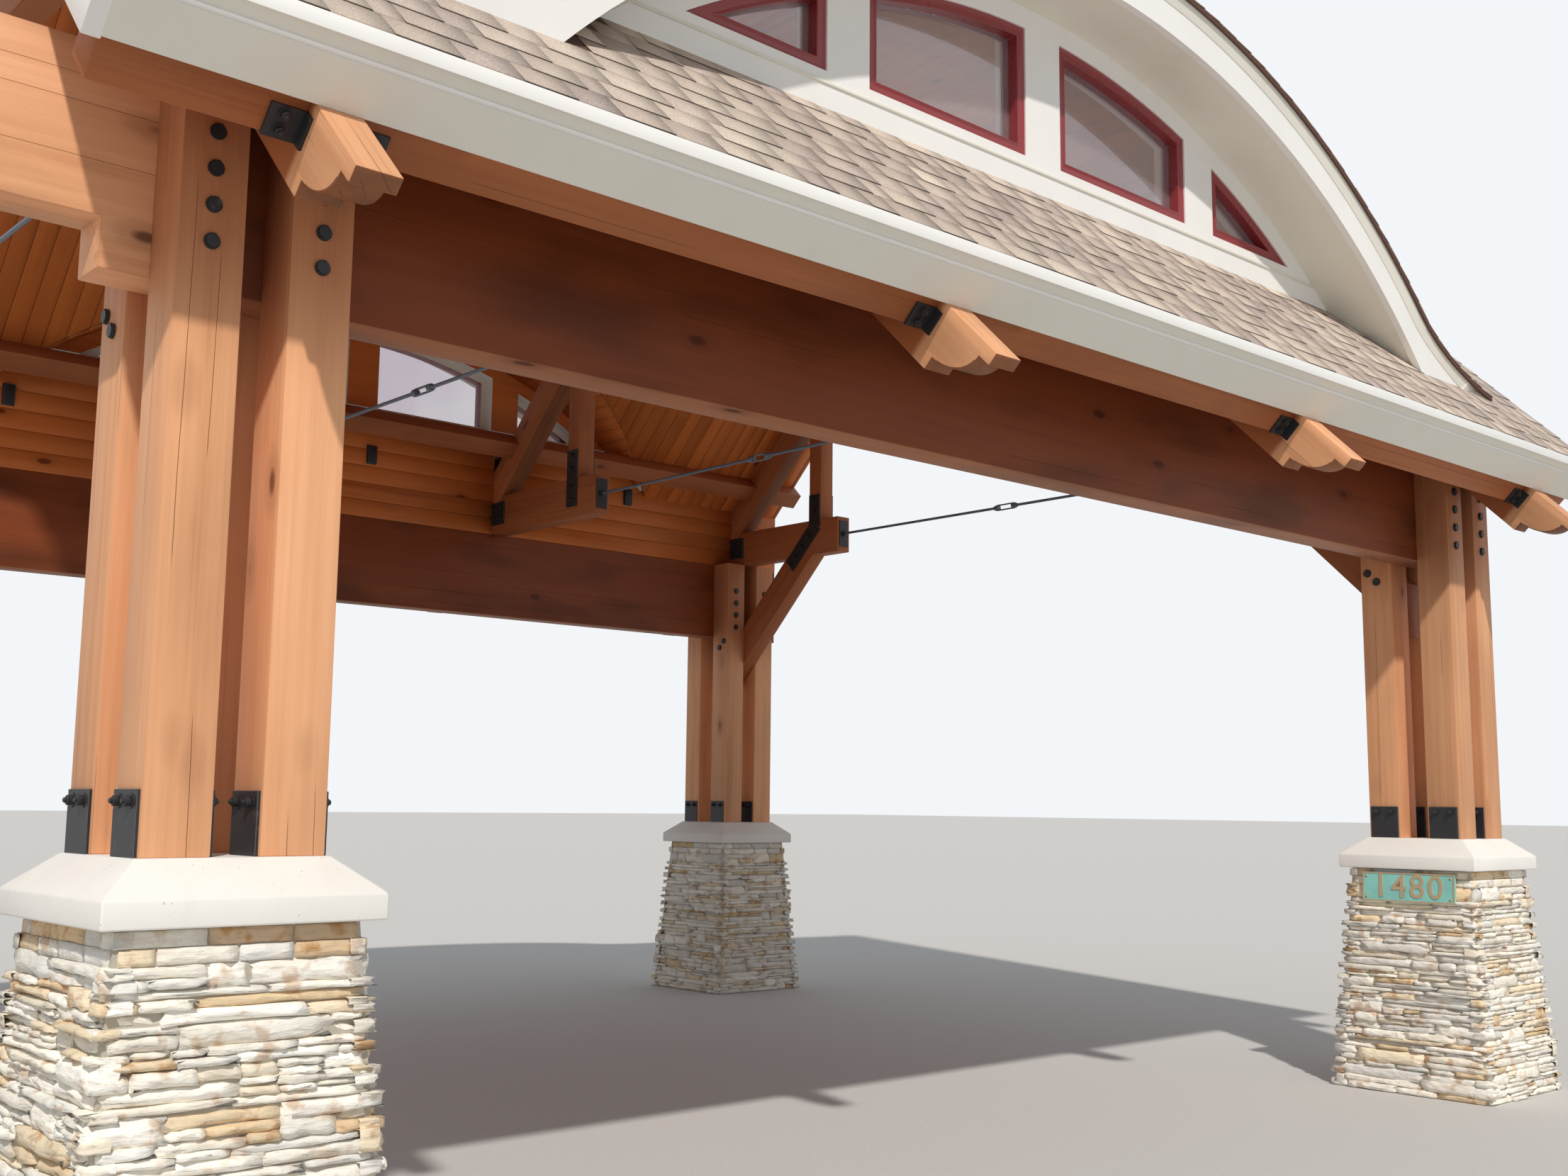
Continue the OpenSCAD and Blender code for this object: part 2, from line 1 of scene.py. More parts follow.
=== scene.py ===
"""Dresses the porch canopy: stones, boards, shingles, timbers, steel, windows, and the stage."""

import math
from collections import namedtuple
from contextlib import contextmanager
from itertools import product

import bpy
import numpy as np
from bpy.props import FloatProperty, FloatVectorProperty, IntProperty, PointerProperty
from mathutils import Matrix, Vector


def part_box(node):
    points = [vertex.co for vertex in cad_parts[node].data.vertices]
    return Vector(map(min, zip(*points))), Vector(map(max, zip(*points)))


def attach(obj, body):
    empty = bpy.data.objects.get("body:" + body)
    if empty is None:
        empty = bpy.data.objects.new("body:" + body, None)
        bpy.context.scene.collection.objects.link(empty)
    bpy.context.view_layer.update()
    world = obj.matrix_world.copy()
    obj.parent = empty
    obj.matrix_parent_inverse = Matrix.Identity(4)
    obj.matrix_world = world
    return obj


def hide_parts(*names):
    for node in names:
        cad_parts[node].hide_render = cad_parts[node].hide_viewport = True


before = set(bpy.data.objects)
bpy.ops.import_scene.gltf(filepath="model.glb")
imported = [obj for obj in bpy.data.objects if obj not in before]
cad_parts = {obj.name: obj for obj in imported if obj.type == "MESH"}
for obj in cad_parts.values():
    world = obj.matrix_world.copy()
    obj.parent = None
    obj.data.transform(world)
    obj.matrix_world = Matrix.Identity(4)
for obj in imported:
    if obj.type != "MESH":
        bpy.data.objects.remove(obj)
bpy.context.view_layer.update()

bl_info = {
    "name": "Porch canopy",
    "version": (1, 0, 0),
    "blender": (4, 5, 0),
    "location": "View3D > Sidebar > Canopy",
    "description": "Builds the stones, timbers, roof and windows of a porch canopy on its frame",
    "category": "Object",
}

# Places of the frame, in metres. U runs down a slope from the ridge and n runs down into it from
# the rafters' top. The dormers' arcs are struck from DORMER_Y and ARCH_Z.
HALF = math.sqrt(0.5)
RIDGE_Z = 7.743
EAVE_U, FRONT = 5.8266, 5.8646
ROOF_N, BAND_N, DRIP = 0.25, -0.154, 0.0283
RAKE_Y, WALL_Y = -4.188, 4.821
OVERHANG = 0.046
TRUSS_Y = (-3.521, -0.901, 1.719, 4.339)
END_TRUSSES, MIDDLE_TRUSSES = (0, 3), (1, 2)
TRUSS_T = 0.146
STRAP_X, ELBOW_Z = 2.175, 4.125
ROD_Z, ROD_END = 4.04, 1.875
SPAN_HALF = 3.418
POST, POST_DX, POST_DY = 0.203, 0.1875, 0.1745
PLATE_T = 0.01
BEAM_IN, BEAM_OUT, BEAM_TOP = 3.332, 3.504, 3.88
PIER_H = 1.313
DORMER_Y, ARCH_Z = 0.409, 1.3
ARCH_IN, ARCH_R, ARCH_OUT = 4.202, 4.19, 4.425
WALL_FACE, ARCH_FACE, ARCH_EDGE = 3.529, 3.899, 3.929
SILL_Z = 4.741
SIDES = (("near", 1), ("far", -1))
SPOTS = ("outer_near", "outer_far", "inner_near", "inner_far")
BOTH = (-1, 1)


def roof_point(u, n, side=1):
    """X and Z of a point that lies u down the slope and n below the rafters' top."""
    return side * (u - n) * HALF, RIDGE_Z - (u + n) * HALF


def arch_path():
    """The arched roof's outline from a foot's tip to its crown: reach off the middle, height."""
    foot = [(3.85, 4.198), (3.252, 4.32), (3.0, 4.552)]
    points = []
    for t in np.linspace(0, 1, 13):
        shares = ((1 - t) ** 2, 2 * t * (1 - t), t * t)
        points.append(sum(s * np.array(p) for s, p in zip(shares, foot)))
    for angle in np.linspace(math.asin(3.0 / ARCH_OUT), 0, 40)[1:]:
        points.append(np.array((ARCH_OUT * math.sin(angle), ARCH_Z + ARCH_OUT * math.cos(angle))))
    return np.array(points)


PATH = arch_path()
PATH_RUN = np.concatenate([[0], np.cumsum(np.linalg.norm(np.diff(PATH, axis=0), axis=1))])


def on_arch(run, lift):
    """Reach and height of spots a run up the arched roof from its foot, lifted square to it."""
    spot, back, ahead = (np.array([np.interp(run + shift, PATH_RUN, PATH[:, k]) for k in (0, 1)])
                         for shift in (0, -0.03, 0.03))
    along = (ahead - back) / np.linalg.norm(ahead - back, axis=0)
    return spot[0] + along[1] * lift, spot[1] - along[0] * lift


def arch_height(reach):
    """Height of the arched roof's outline at a reach off its middle, or of the floor past it."""
    return float(np.interp(abs(reach), PATH[::-1, 0], PATH[::-1, 1], right=0.0))


# Materials


def paired(operation):
    """An operator and its reflected form, for a value that stands on either side of the sign."""
    def plain(self, other):
        return self.math(operation, self, other)

    def reflected(self, other):
        return self.math(operation, other, self)

    return plain, reflected


class Value:
    """A shader socket that takes part in Python sums."""

    __add__, __radd__ = paired("ADD")
    __sub__, __rsub__ = paired("SUBTRACT")
    __mul__, __rmul__ = paired("MULTIPLY")
    __truediv__, __rtruediv__ = paired("DIVIDE")

    def __init__(self, look, socket):
        self.look, self.socket = look, socket

    def math(self, operation, *values):
        inputs = dict(enumerate(values))
        return self.look.node("ShaderNodeMath", {"operation": operation}, inputs)

    def __abs__(self):
        return self.math("ABSOLUTE", self)

    def fraction(self):
        return self.math("FRACT", self)

    def step(self, low, high):
        """0 below low, 1 above high, and a smooth rise between; low may be the larger."""
        if low > high:
            return 1 - self.step(high, low)
        settings = {"interpolation_type": "SMOOTHSTEP"}
        return self.look.node("ShaderNodeMapRange", settings, {0: self, 1: low, 2: high})


class Look:
    """The shader nodes of a new material, or of a world, made one by one."""

    def __init__(self, name, world=None):
        self.owner = world or bpy.data.materials.new(name)
        self.owner.use_nodes = True
        self.tree = self.owner.node_tree
        self.tree.nodes.clear()

    def node(self, kind, settings, inputs, out=0):
        made = self.tree.nodes.new(kind)
        for key, setting in settings.items():
            if key == "stops":
                ramp = made.color_ramp
                while len(ramp.elements) < len(setting):
                    ramp.elements.new(0.5)
                for element, (place, colour) in zip(ramp.elements, setting):
                    element.position = place
                    element.color = (*colour, 1)
            else:
                setattr(made, key, setting)
        for key, value in inputs.items():
            if isinstance(value, Value):
                self.tree.links.new(value.socket, made.inputs[key])
            else:
                made.inputs[key].default_value = value
        return Value(self, made.outputs[out]) if len(made.outputs) else None

    def place(self):
        return self.node("ShaderNodeTexCoord", {}, {}, "Object")

    def mark(self, name, out="Fac"):
        return self.node("ShaderNodeAttribute", {"attribute_name": name}, {}, out)

    def part(self, vector, axis):
        return self.node("ShaderNodeSeparateXYZ", {}, {0: vector}, axis)

    def scaled(self, vector, scale):
        """Inputs of a texture; its scale is one number, or one for each axis."""
        if isinstance(scale, tuple):
            settings = {"operation": "MULTIPLY"}
            vector = self.node("ShaderNodeVectorMath", settings, {0: vector, 1: scale})
            scale = 1.0
        return {"Vector": vector, "Scale": scale}

    def noise(self, vector, scale, detail=3.0, rough=0.55, twist=0.0):
        inputs = {**self.scaled(vector, scale), "Detail": detail, "Roughness": rough,
                  "Distortion": twist}
        return self.node("ShaderNodeTexNoise", {}, inputs)

    def cells(self, vector, scale, out="Distance"):
        return self.node("ShaderNodeTexVoronoi", {}, self.scaled(vector, scale), out)

    def ramp(self, value, *stops):
        return self.node("ShaderNodeValToRGB", {"stops": stops}, {0: value})

    def mix(self, share, a, b):
        settings = {"data_type": "RGBA", "clamp_factor": True}
        a = (*a, 1) if isinstance(a, tuple) else a
        b = (*b, 1) if isinstance(b, tuple) else b
        return self.node("ShaderNodeMix", settings, {0: share, 6: a, 7: b}, 2)

    def shade(self, colour, value):
        """The colour made darker or lighter by a value around 1."""
        return self.node("ShaderNodeHueSaturation", {}, {"Value": value, "Color": colour})

    def bump(self, height, depth, strength=1.0, under=None):
        inputs = {"Height": height, "Distance": depth, "Strength": strength}
        if under:
            inputs["Normal"] = under
        return self.node("ShaderNodeBump", {}, inputs)

    def finish(self, colour, rough, normal=None, **constants):
        inputs = {"Base Color": (*colour, 1) if isinstance(colour, tuple) else colour,
                  "Roughness": rough}
        if normal:
            inputs["Normal"] = normal
        for key, value in constants.items():
            inputs[key.replace("_", " ")] = value
        shader = self.node("ShaderNodeBsdfPrincipled", {}, inputs)
        self.node("ShaderNodeOutputMaterial", {}, {"Surface": shader})
        return self.owner


def blend(a, b, share):
    return tuple(x + (y - x) * share for x, y in zip(a, b))


def times(colour, *factors):
    return tuple(min(1.0, c * f) for c, f in zip(colour, factors * 3))


def stain(base):
    """Stops of the ramp that gives a wood its darker and paler grain."""
    dark = times(base, 0.72, 0.62, 0.55)
    return ((0.33, dark), (0.45, blend(dark, base, 0.75)), (0.54, base),
            (0.68, times(base, 1.12, 1.2, 1.3)))


def wood_look(name, base, faded=None, sunny=None, checks=1.0, knots=1.0, gloss=0.55,
              mottle=0.16, dim=0.0):
    """Stained softwood with knots and checks, painted paler as if sunlit where sunny(x, y, z, under)
    says so.
    """
    look = Look(name)
    grain = look.mark("grain", "Vector")
    tone = look.mark("tone")
    clouds = look.noise(grain, (0.7, 5.5, 5.5), 4, 0.55, 0.4)
    streaks = look.noise(grain, (0.35, 21, 21), 3, 0.55, 0.3)
    lines = look.noise(grain, (0.9, 75, 75), 3, 0.6)
    fibre = look.noise(grain, (4, 290, 290), 2, 0.6)
    figure = clouds * 0.4 + streaks * 0.3 + lines * 0.18 + fibre * 0.12
    colour = look.ramp(figure, *stain(base))
    under = look.mark("under")
    # Painted sunlight: the colour turns to the pale sunlit colour by the share that sunny gives.
    if sunny:
        share = sunny(*(look.part(look.place(), axis) for axis in (0, 1, 2)), under)
        colour = look.mix(share, colour, look.ramp(figure, *stain(faded)))
    patches = look.noise(grain, (0.9, 3.2, 3.2), 2, 0.5)
    # Darker mottled patches, and painted shade on the faces that look down, as much as dim asks.
    dark = patches.step(0.45, 0.75) * mottle + under * dim
    colour = look.shade(colour, tone * 0.24 + 0.92 - dark)
    spots = look.cells(grain, (1.6, 3.6, 3.6))
    knot = spots.step(0.1, 0.05) * (tone.step(0.3, 0.35) * knots)
    halo = spots.step(0.24, 0.1) * (0.3 * knots)
    colour = look.mix(halo, colour, times(base, 0.6))
    colour = look.mix(knot * 0.8, colour, times(base, 0.3, 0.2, 0.18))
    wander = look.noise(grain, (0.7, 0.01, 0.01), 2, 0.4)
    across = look.part(grain, 1) + look.part(grain, 2)
    line = abs((across / 0.083 + wander * 0.5).fraction() - 0.5)
    broken = look.noise(grain, (0.9, 9, 9), 1, 0.4).step(0.57, 0.61)
    crack = line.step(0.015, 0.005) * broken * checks
    colour = look.mix(crack * 0.75, colour, times(base, 0.3, 0.22, 0.18))
    # Painted shade in the boards' V grooves.
    colour = look.mix(look.mark("groove") * 0.6, colour, times(base, 0.2, 0.16, 0.14))
    colour = look.mix(look.mark("edge") * 0.15, colour, times(base, 1.3))
    rough = fibre * 0.2 + (gloss - 0.1)
    coarse = look.bump(streaks * 0.5 + lines * 0.5, 0.001, 0.4)
    fine = look.bump(fibre - crack * 5.0, 0.0006, 0.8, coarse)
    return look.finish(colour, rough, fine, Specular_IOR_Level=0.3)


def stone_look(name, base):
    look = Look(name)
    place = look.place()
    hue = look.mark("hue")
    tone = look.mark("tone")
    rust = (0.52, 0.27, 0.1)
    colour = look.ramp(hue, (0.0, times(base, 0.74)), (0.18, (0.8, 0.79, 0.76)), (0.34, base),
                       (0.58, (0.95, 0.93, 0.87)), (0.75, (0.86, 0.75, 0.57)),
                       (0.9, (0.76, 0.57, 0.35)), (1.0, blend(rust, base, 0.35)))
    veins = look.noise(place, (9, 9, 28.8), 6, 0.62, 0.6)
    fine = look.noise(place, (85, 85, 170), 5, 0.7)
    blotch = look.noise(place, 14.0, 3, 0.5)
    colour = look.mix(blotch.step(0.53, 0.68) * (hue * 0.75 + 0.12), colour, rust)
    colour = look.mix(veins.step(0.52, 0.3) * 0.35, colour, times(base, 0.72, 0.6, 0.46))
    colour = look.shade(colour, tone * 0.25 + fine * 0.25 + 0.8)
    layers = look.noise(place, (7, 7, 63), 4, 0.6)
    facets = look.cells(place, (17, 17, 40.8))
    split = look.bump(veins * 0.5 + layers * 0.6 + facets * 0.7, 0.012, 0.8)
    grit = look.bump(fine, 0.0028, 0.7, split)
    return look.finish(colour, fine * 0.15 + 0.78, grit, Specular_IOR_Level=0.25)


def mortar_look(name):
    look = Look(name)
    sand = look.noise(look.place(), 240.0, 4, 0.7)
    stain = look.noise(look.place(), 9.0, 3, 0.5)
    colour = look.ramp(sand * 0.6 + stain * 0.4, (0.3, (0.47, 0.43, 0.36)),
                       (0.7, (0.64, 0.59, 0.51)))
    return look.finish(colour, 0.95, look.bump(sand, 0.003), Specular_IOR_Level=0.1)


def cast_look(name, base):
    look = Look(name)
    place = look.place()
    sand = look.noise(place, 330.0, 3, 0.65)
    cloud = look.noise(place, 3.2, 4, 0.55)
    pits = look.cells(place, 62.0).step(0.16, 0.05) * look.noise(place, 7.0).step(0.5, 0.6)
    streak = look.noise(place, (9, 9, 0.9), 3, 0.6)
    colour = look.mix(cloud.step(0.35, 0.75), times(base, 0.96), base)
    colour = look.mix(streak.step(0.55, 0.75) * 0.12, colour, (0.66, 0.61, 0.52))
    colour = look.mix(pits * 0.5, colour, times(base, 0.5))
    colour = look.shade(colour, sand * 0.12 + 0.94)
    normal = look.bump(sand * 0.4 - pits, 0.0022, 0.8)
    return look.finish(colour, sand * 0.1 + 0.74, normal, Specular_IOR_Level=0.3)


def paint_look(name, base, rough=0.42):
    look = Look(name)
    place = look.place()
    brush = look.noise(place, 26.0, 4, 0.6)
    wave = look.noise(place, 2.3, 2, 0.5)
    dirt = look.noise(place, 5.5, 5, 0.62).step(0.5, 0.78)
    edge = look.mark("edge")
    colour = look.mix(dirt * 0.16, base, times(base, 0.86, 0.82, 0.74))
    colour = look.mix(edge * 0.3, colour, times(base, 1.08))
    colour = look.shade(colour, wave * 0.08 + 0.96)
    normal = look.bump(brush * 0.35 + wave, 0.0016, 0.5)
    return look.finish(colour, brush * 0.16 + (rough - 0.08), normal)


def shingle_look(name, base):
    look = Look(name)
    place = look.place()
    tone = look.mark("tone")
    hue = look.mark("hue")
    grains = look.cells(place, 390.0, "Color")
    grit = look.cells(place, 300.0)
    patch = look.noise(place, 11.0, 4, 0.6)
    field = look.ramp(hue * 0.8 + patch * 0.2, (0.12, (0.4, 0.31, 0.29)),
                      (0.36, (0.52, 0.42, 0.38)), (0.5, base), (0.66, (0.7, 0.585, 0.49)),
                      (0.88, (0.77, 0.67, 0.56)))
    speck = look.node("ShaderNodeSeparateColor", {}, {0: grains}, 0)
    colour = look.mix(speck.step(0.72, 0.86) * 0.4, field, (0.86, 0.8, 0.72))
    colour = look.mix(speck.step(0.2, 0.08) * 0.45, colour, (0.2, 0.15, 0.13))
    colour = look.shade(colour, tone * 0.2 + 0.88)
    # Painted shadow along the tabs' lower edges.
    colour = look.mix(look.mark("butt") * 0.9, colour, (0.06, 0.04, 0.035))
    normal = look.bump(grit, 0.0018, 0.7, look.bump(patch, 0.002, 0.3))
    return look.finish(colour, 0.93, normal, Specular_IOR_Level=0.18)


def felt_look(name):
    look = Look(name)
    web = look.noise(look.place(), 120.0, 4, 0.6)
    colour = look.ramp(web, (0.3, (0.085, 0.045, 0.036)), (0.7, (0.16, 0.09, 0.072)))
    return look.finish(colour, 0.96, look.bump(web, 0.002), Specular_IOR_Level=0.15)


def steel_look(name, base, rough, metallic):
    look = Look(name)
    place = look.place()
    skin = look.noise(place, 150.0, 3, 0.6)
    scuff = look.noise(place, 17.0, 5, 0.65).step(0.6, 0.72)
    edge = look.mark("edge")
    colour = look.mix(scuff * 0.35, base, blend(base, (0.42, 0.4, 0.38), 0.35))
    colour = look.mix(edge * 0.35, colour, blend(base, (0.5, 0.48, 0.46), 0.4))
    colour = look.shade(colour, skin * 0.3 + 0.85)
    return look.finish(colour, skin * 0.2 + scuff * 0.12 + (rough - 0.1),
                       look.bump(skin, 0.0006, 0.8), Metallic=metallic)


def patina_look(name, base):
    look = Look(name)
    place = look.place()
    crust = look.noise(place, 34.0, 6, 0.65)
    cloud = look.noise(place, 8.0, 4, 0.55)
    colour = look.mix(cloud.step(0.4, 0.7) * 0.5, base, times(base, 0.74))
    colour = look.mix(crust.step(0.6, 0.72) * 0.5, colour, (0.64, 0.74, 0.7))
    return look.finish(colour, crust * 0.3 + 0.5, look.bump(crust, 0.001, 0.7))


def glass_look(name, base):
    look = Look(name)
    cloud = look.noise(look.place(), 0.9, 2, 0.5)
    colour = look.mix(cloud.step(0.35, 0.65), base, times(base, 0.88, 0.83, 0.88))
    return look.finish(colour, 0.02, Transmission_Weight=0.88, IOR=1.5, Coat_Weight=1.0,
                       Coat_Roughness=0.02)


LOOKS = {}


def looks():
    """Every material, made once from the colours in the sidebar."""
    if LOOKS:
        return LOOKS
    colours = bpy.context.scene.canopy_colours
    tint = {name: tuple(getattr(colours, name)) for name in CanopyColours.__annotations__}
    faded = tint["faded"]

    # Rafter tails are painted paler as sunlit past the line where the fascia's shadow ends; their
    # undersides keep most of the darker colour, which is painted darker again as shade.
    def on_tails(x, y, z, under):
        past_eave = ((abs(x) - z + RIDGE_Z) * HALF).step(FRONT - 0.03, FRONT + 0.01)
        return past_eave * (1 - under * 0.8)

    LOOKS.update(
        timber=wood_look("timber", tint["timber"]),
        rafter=wood_look("rafter timber", tint["timber"], faded, on_tails, mottle=0.25, dim=0.45),
        # Eave beams: a darker colour as painted shade, painted sunlight on their tails past the
        # outer posts at the gable, and undersides a little paler as painted light from below.
        beam=wood_look("beam timber", tint["beam"], faded,
                       lambda x, y, z, under: y.step(-3.66, -3.78) + under * 0.3, 0.7,
                       mottle=0.5),
        # Posts: paler than the other timbers as painted light, and painted fully sunlit below about
        # 3 m, so that their upper part reads as shade under the eave.
        posts=wood_look("post timber", blend(tint["timber"], faded, 0.35), faded,
                        lambda x, y, z, under: z.step(3.35, 2.85)),
        boards=wood_look("boards", tint["boards"], None, None, 0.0, 1.2, 0.48),
        stonework=stone_look("stonework", tint["stone"]),
        mortar=mortar_look("mortar"),
        cast_stone=cast_look("cast stone", tint["cast_stone"]),
        painted_trim=paint_look("painted trim", tint["trim"]),
        cream=paint_look("cream fascia paint", tint["fascia"]),
        shingles=shingle_look("shingle granules", tint["shingle"]),
        felt=felt_look("roofing felt"),
        black_steel=steel_look("black steel", tint["black_steel"], 0.5, 0.25),
        rod_steel=steel_look("rod steel", tint["rod_steel"], 0.45, 0.35),
        window_paint=paint_look("window paint", tint["window_paint"], 0.3),
        window_glass=glass_look("window glass", tint["glass"]),
        bronze=steel_look("bronze", tint["bronze"], 0.5, 0.2),
        verdigris=patina_look("verdigris", tint["verdigris"]),
    )
    return LOOKS


# Making meshes


def pick(*objects):
    """Leaves only these objects selected, the last one active, in object mode."""
    if bpy.context.object and bpy.context.object.mode != "OBJECT":
        bpy.ops.object.mode_set(mode="OBJECT")
    bpy.ops.object.select_all(action="DESELECT")
    for thing in objects:
        thing.select_set(True)
    if objects:
        bpy.context.view_layer.objects.active = objects[-1]


@contextmanager
def editing(piece, kind=None, test=None):
    """Edit mode with all of a piece selected, or only those faces or edges that pass a test."""
    pick(piece)
    bpy.ops.object.mode_set(mode="EDIT")
    if test:
        bpy.ops.mesh.select_mode(type=kind)
        bpy.ops.mesh.select_all(action="DESELECT")
        bpy.ops.object.mode_set(mode="OBJECT")
        for part in piece.data.polygons if kind == "FACE" else piece.data.edges:
            part.select = test(part)
        bpy.ops.object.mode_set(mode="EDIT")
    else:
        bpy.ops.mesh.select_all(action="SELECT")
    yield
    bpy.ops.object.mode_set(mode="OBJECT")


def cut(distance, axis):
    """Cuts all of the mesh that is open for editing, square to an axis."""
    bpy.ops.mesh.select_all(action="SELECT")
    bpy.ops.mesh.bisect(plane_co=Vector(axis) * distance, plane_no=axis)


def ends(piece, edge):
    """Where the two ends of an edge are."""
    return [piece.data.vertices[i].co for i in edge.vertices]


def outward(piece):
    """Turns the faces of a closed piece outwards."""
    with editing(piece):
        bpy.ops.mesh.normals_make_consistent(inside=False)
    return piece


def named(piece, name):
    piece.name = piece.data.name = name
    return piece


def thickened(piece, thick):
    """Gives a sheet a thickness on the side that its faces look to."""
    pick(piece)
    bpy.ops.object.modifier_add(type="SOLIDIFY")
    tool = piece.modifiers[-1]
    tool.thickness = thick
    tool.offset = 1
    bpy.ops.object.modifier_apply(modifier=tool.name)
    return piece


def flatten(thing):
    """Puts an object's place, turn and scale into its mesh."""
    pick(thing)
    bpy.ops.object.transform_apply(location=True, rotation=True, scale=True)
    return thing


def block(one, other):
    """A block between two opposite corners."""
    low, high = (Vector(corner) for corner in zip(*map(sorted, zip(one, other))))
    pick()
    bpy.ops.mesh.primitive_cube_add(size=1, location=(low + high) / 2)
    bpy.context.object.scale = high - low
    return flatten(bpy.context.object)


def disc(sides, radius, low, high):
    """A round or many-sided bar on the Z axis, from one height to another."""
    pick()
    bpy.ops.mesh.primitive_cylinder_add(vertices=sides, radius=radius, depth=high - low,
                                        location=(0, 0, (low + high) / 2))
    return flatten(bpy.context.object)


def rod(start, end, radius, sides=20):
    """A bar between two points."""
    start, end = Vector(start), Vector(end)
    made = disc(sides, radius, 0, (end - start).length)
    made.rotation_euler = (end - start).to_track_quat("Z", "Y").to_euler()
    made.location = start
    return flatten(made)


def eased(piece, width, steps=2, angle=30):
    """Rounds the edges; the new faces are marked in the attribute edge."""
    pick(piece)
    while len(piece.data.materials) < 2:
        piece.data.materials.append(None)
    piece.data.polygons.foreach_set("material_index", [0] * len(piece.data.polygons))
    bpy.ops.object.modifier_add(type="BEVEL")
    tool = piece.modifiers[-1]
    tool.width = width
    tool.segments = steps
    tool.limit_method = "ANGLE"
    tool.angle_limit = math.radians(angle)
    tool.material = 1
    bpy.ops.object.modifier_apply(modifier=tool.name)
    mesh = piece.data
    index = np.zeros(len(mesh.polygons), np.int32)
    mesh.polygons.foreach_get("material_index", index)
    mark(mesh, "edge", index == 1, "FACE")
    mesh.polygons.foreach_set("material_index", np.zeros(len(index), np.int32))
    return piece


def smoothed(piece, angle=30):
    pick(piece)
    bpy.ops.object.shade_smooth_by_angle(angle=math.radians(angle))
    return piece


def joined(name, pieces):
    """One object of several."""
    pick(*pieces)
    bpy.ops.object.join()
    return named(bpy.context.object, name)


def refined(node, name, ease=0.005, steps=2, smooth=30):
    """A merged copy of a CAD node with its edges eased."""
    pick(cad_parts[node])
    bpy.ops.object.duplicate()
    piece = named(bpy.context.object, name)
    piece.parent = None
    for key in [k for k in piece.keys() if k.startswith("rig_")]:
        del piece[key]
    with editing(piece):
        bpy.ops.mesh.remove_doubles(threshold=0.00002)
        bpy.ops.mesh.dissolve_limited(angle_limit=math.radians(0.4))
        bpy.ops.mesh.customdata_custom_splitnormals_clear()
    if ease:
        eased(piece, ease, steps)
    return smoothed(piece, smooth)


def corners(mesh):
    co = np.zeros(len(mesh.vertices) * 3, np.float32)
    mesh.vertices.foreach_get("co", co)
    return co.reshape(-1, 3).astype(float)


def mark(mesh, name, values, domain="POINT"):
    """Keeps one number or one vector for each corner or face of a mesh."""
    values = np.asarray(values, np.float32)
    kind, field = ("FLOAT", "value") if values.ndim == 1 else ("FLOAT_VECTOR", "vector")
    layer = mesh.attributes.get(name) or mesh.attributes.new(name, kind, domain)
    layer.data.foreach_set(field, values.ravel())


def solid_labels(mesh):
    """A number for each corner that is the same all over one loose solid."""
    labels = np.arange(len(mesh.vertices))
    edges = np.zeros(len(mesh.edges) * 2, np.int32)
    mesh.edges.foreach_get("vertices", edges)
    a, b = edges[::2], edges[1::2]
    while True:
        low = np.minimum(labels[a], labels[b])
        fresh = labels.copy()
        np.minimum.at(fresh, a, low)
        np.minimum.at(fresh, b, low)
        fresh = fresh[fresh]
        if (fresh == labels).all():
            return labels
        labels = fresh


# Axes of a timber that runs level, upright, down a slope or up one: along it, then across
AXES = (
    ((1, 0, 0), (0, 1, 0), (0, 0, 1)),
    ((0, 1, 0), (1, 0, 0), (0, 0, 1)),
    ((0, 0, 1), (1, 0, 0), (0, 1, 0)),
    ((HALF, 0, -HALF), (0, 1, 0), (HALF, 0, HALF)),
    ((HALF, 0, HALF), (0, 1, 0), (HALF, 0, -HALF)),
)


def grained(piece, seed):
    """Gives each timber its own grain, along its longest side, and its own tone."""
    chance = np.random.default_rng(seed)
    mesh = piece.data
    co = corners(mesh)
    labels = solid_labels(mesh)
    grain = np.zeros_like(co)
    tone = np.zeros(len(co))
    for label in np.unique(labels):
        own = labels == label
        points = co[own]
        axes = max(AXES, key=lambda a: np.ptp(points @ np.array(a[0])))
        middle = points.mean(0)
        shift = chance.uniform((-40, -0.3, -0.3), (40, 0.3, 0.3))
        grain[own] = (points - middle) @ np.array(axes).T + shift
        tone[own] = chance.uniform(0.1, 1.0)
    mark(mesh, "grain", grain)
    mark(mesh, "tone", tone)
    # Faces that look down are marked, for the painted shade and painted light on timber undersides.
    mark(mesh, "under", [f.normal.z < -0.3 for f in mesh.polygons], "FACE")
    return piece


class Shape:
    """A small modelled shape, ready to be copied many times into one mesh."""

    def __init__(self, piece):
        mesh = piece.data
        self.points = corners(mesh)
        self.faces = [tuple(p.vertices) for p in mesh.polygons]
        bpy.data.objects.remove(piece)
        self.triangles = np.array([(f[0], f[i], f[i + 1]) for f in self.faces
                                   for i in range(1, len(f) - 1)])


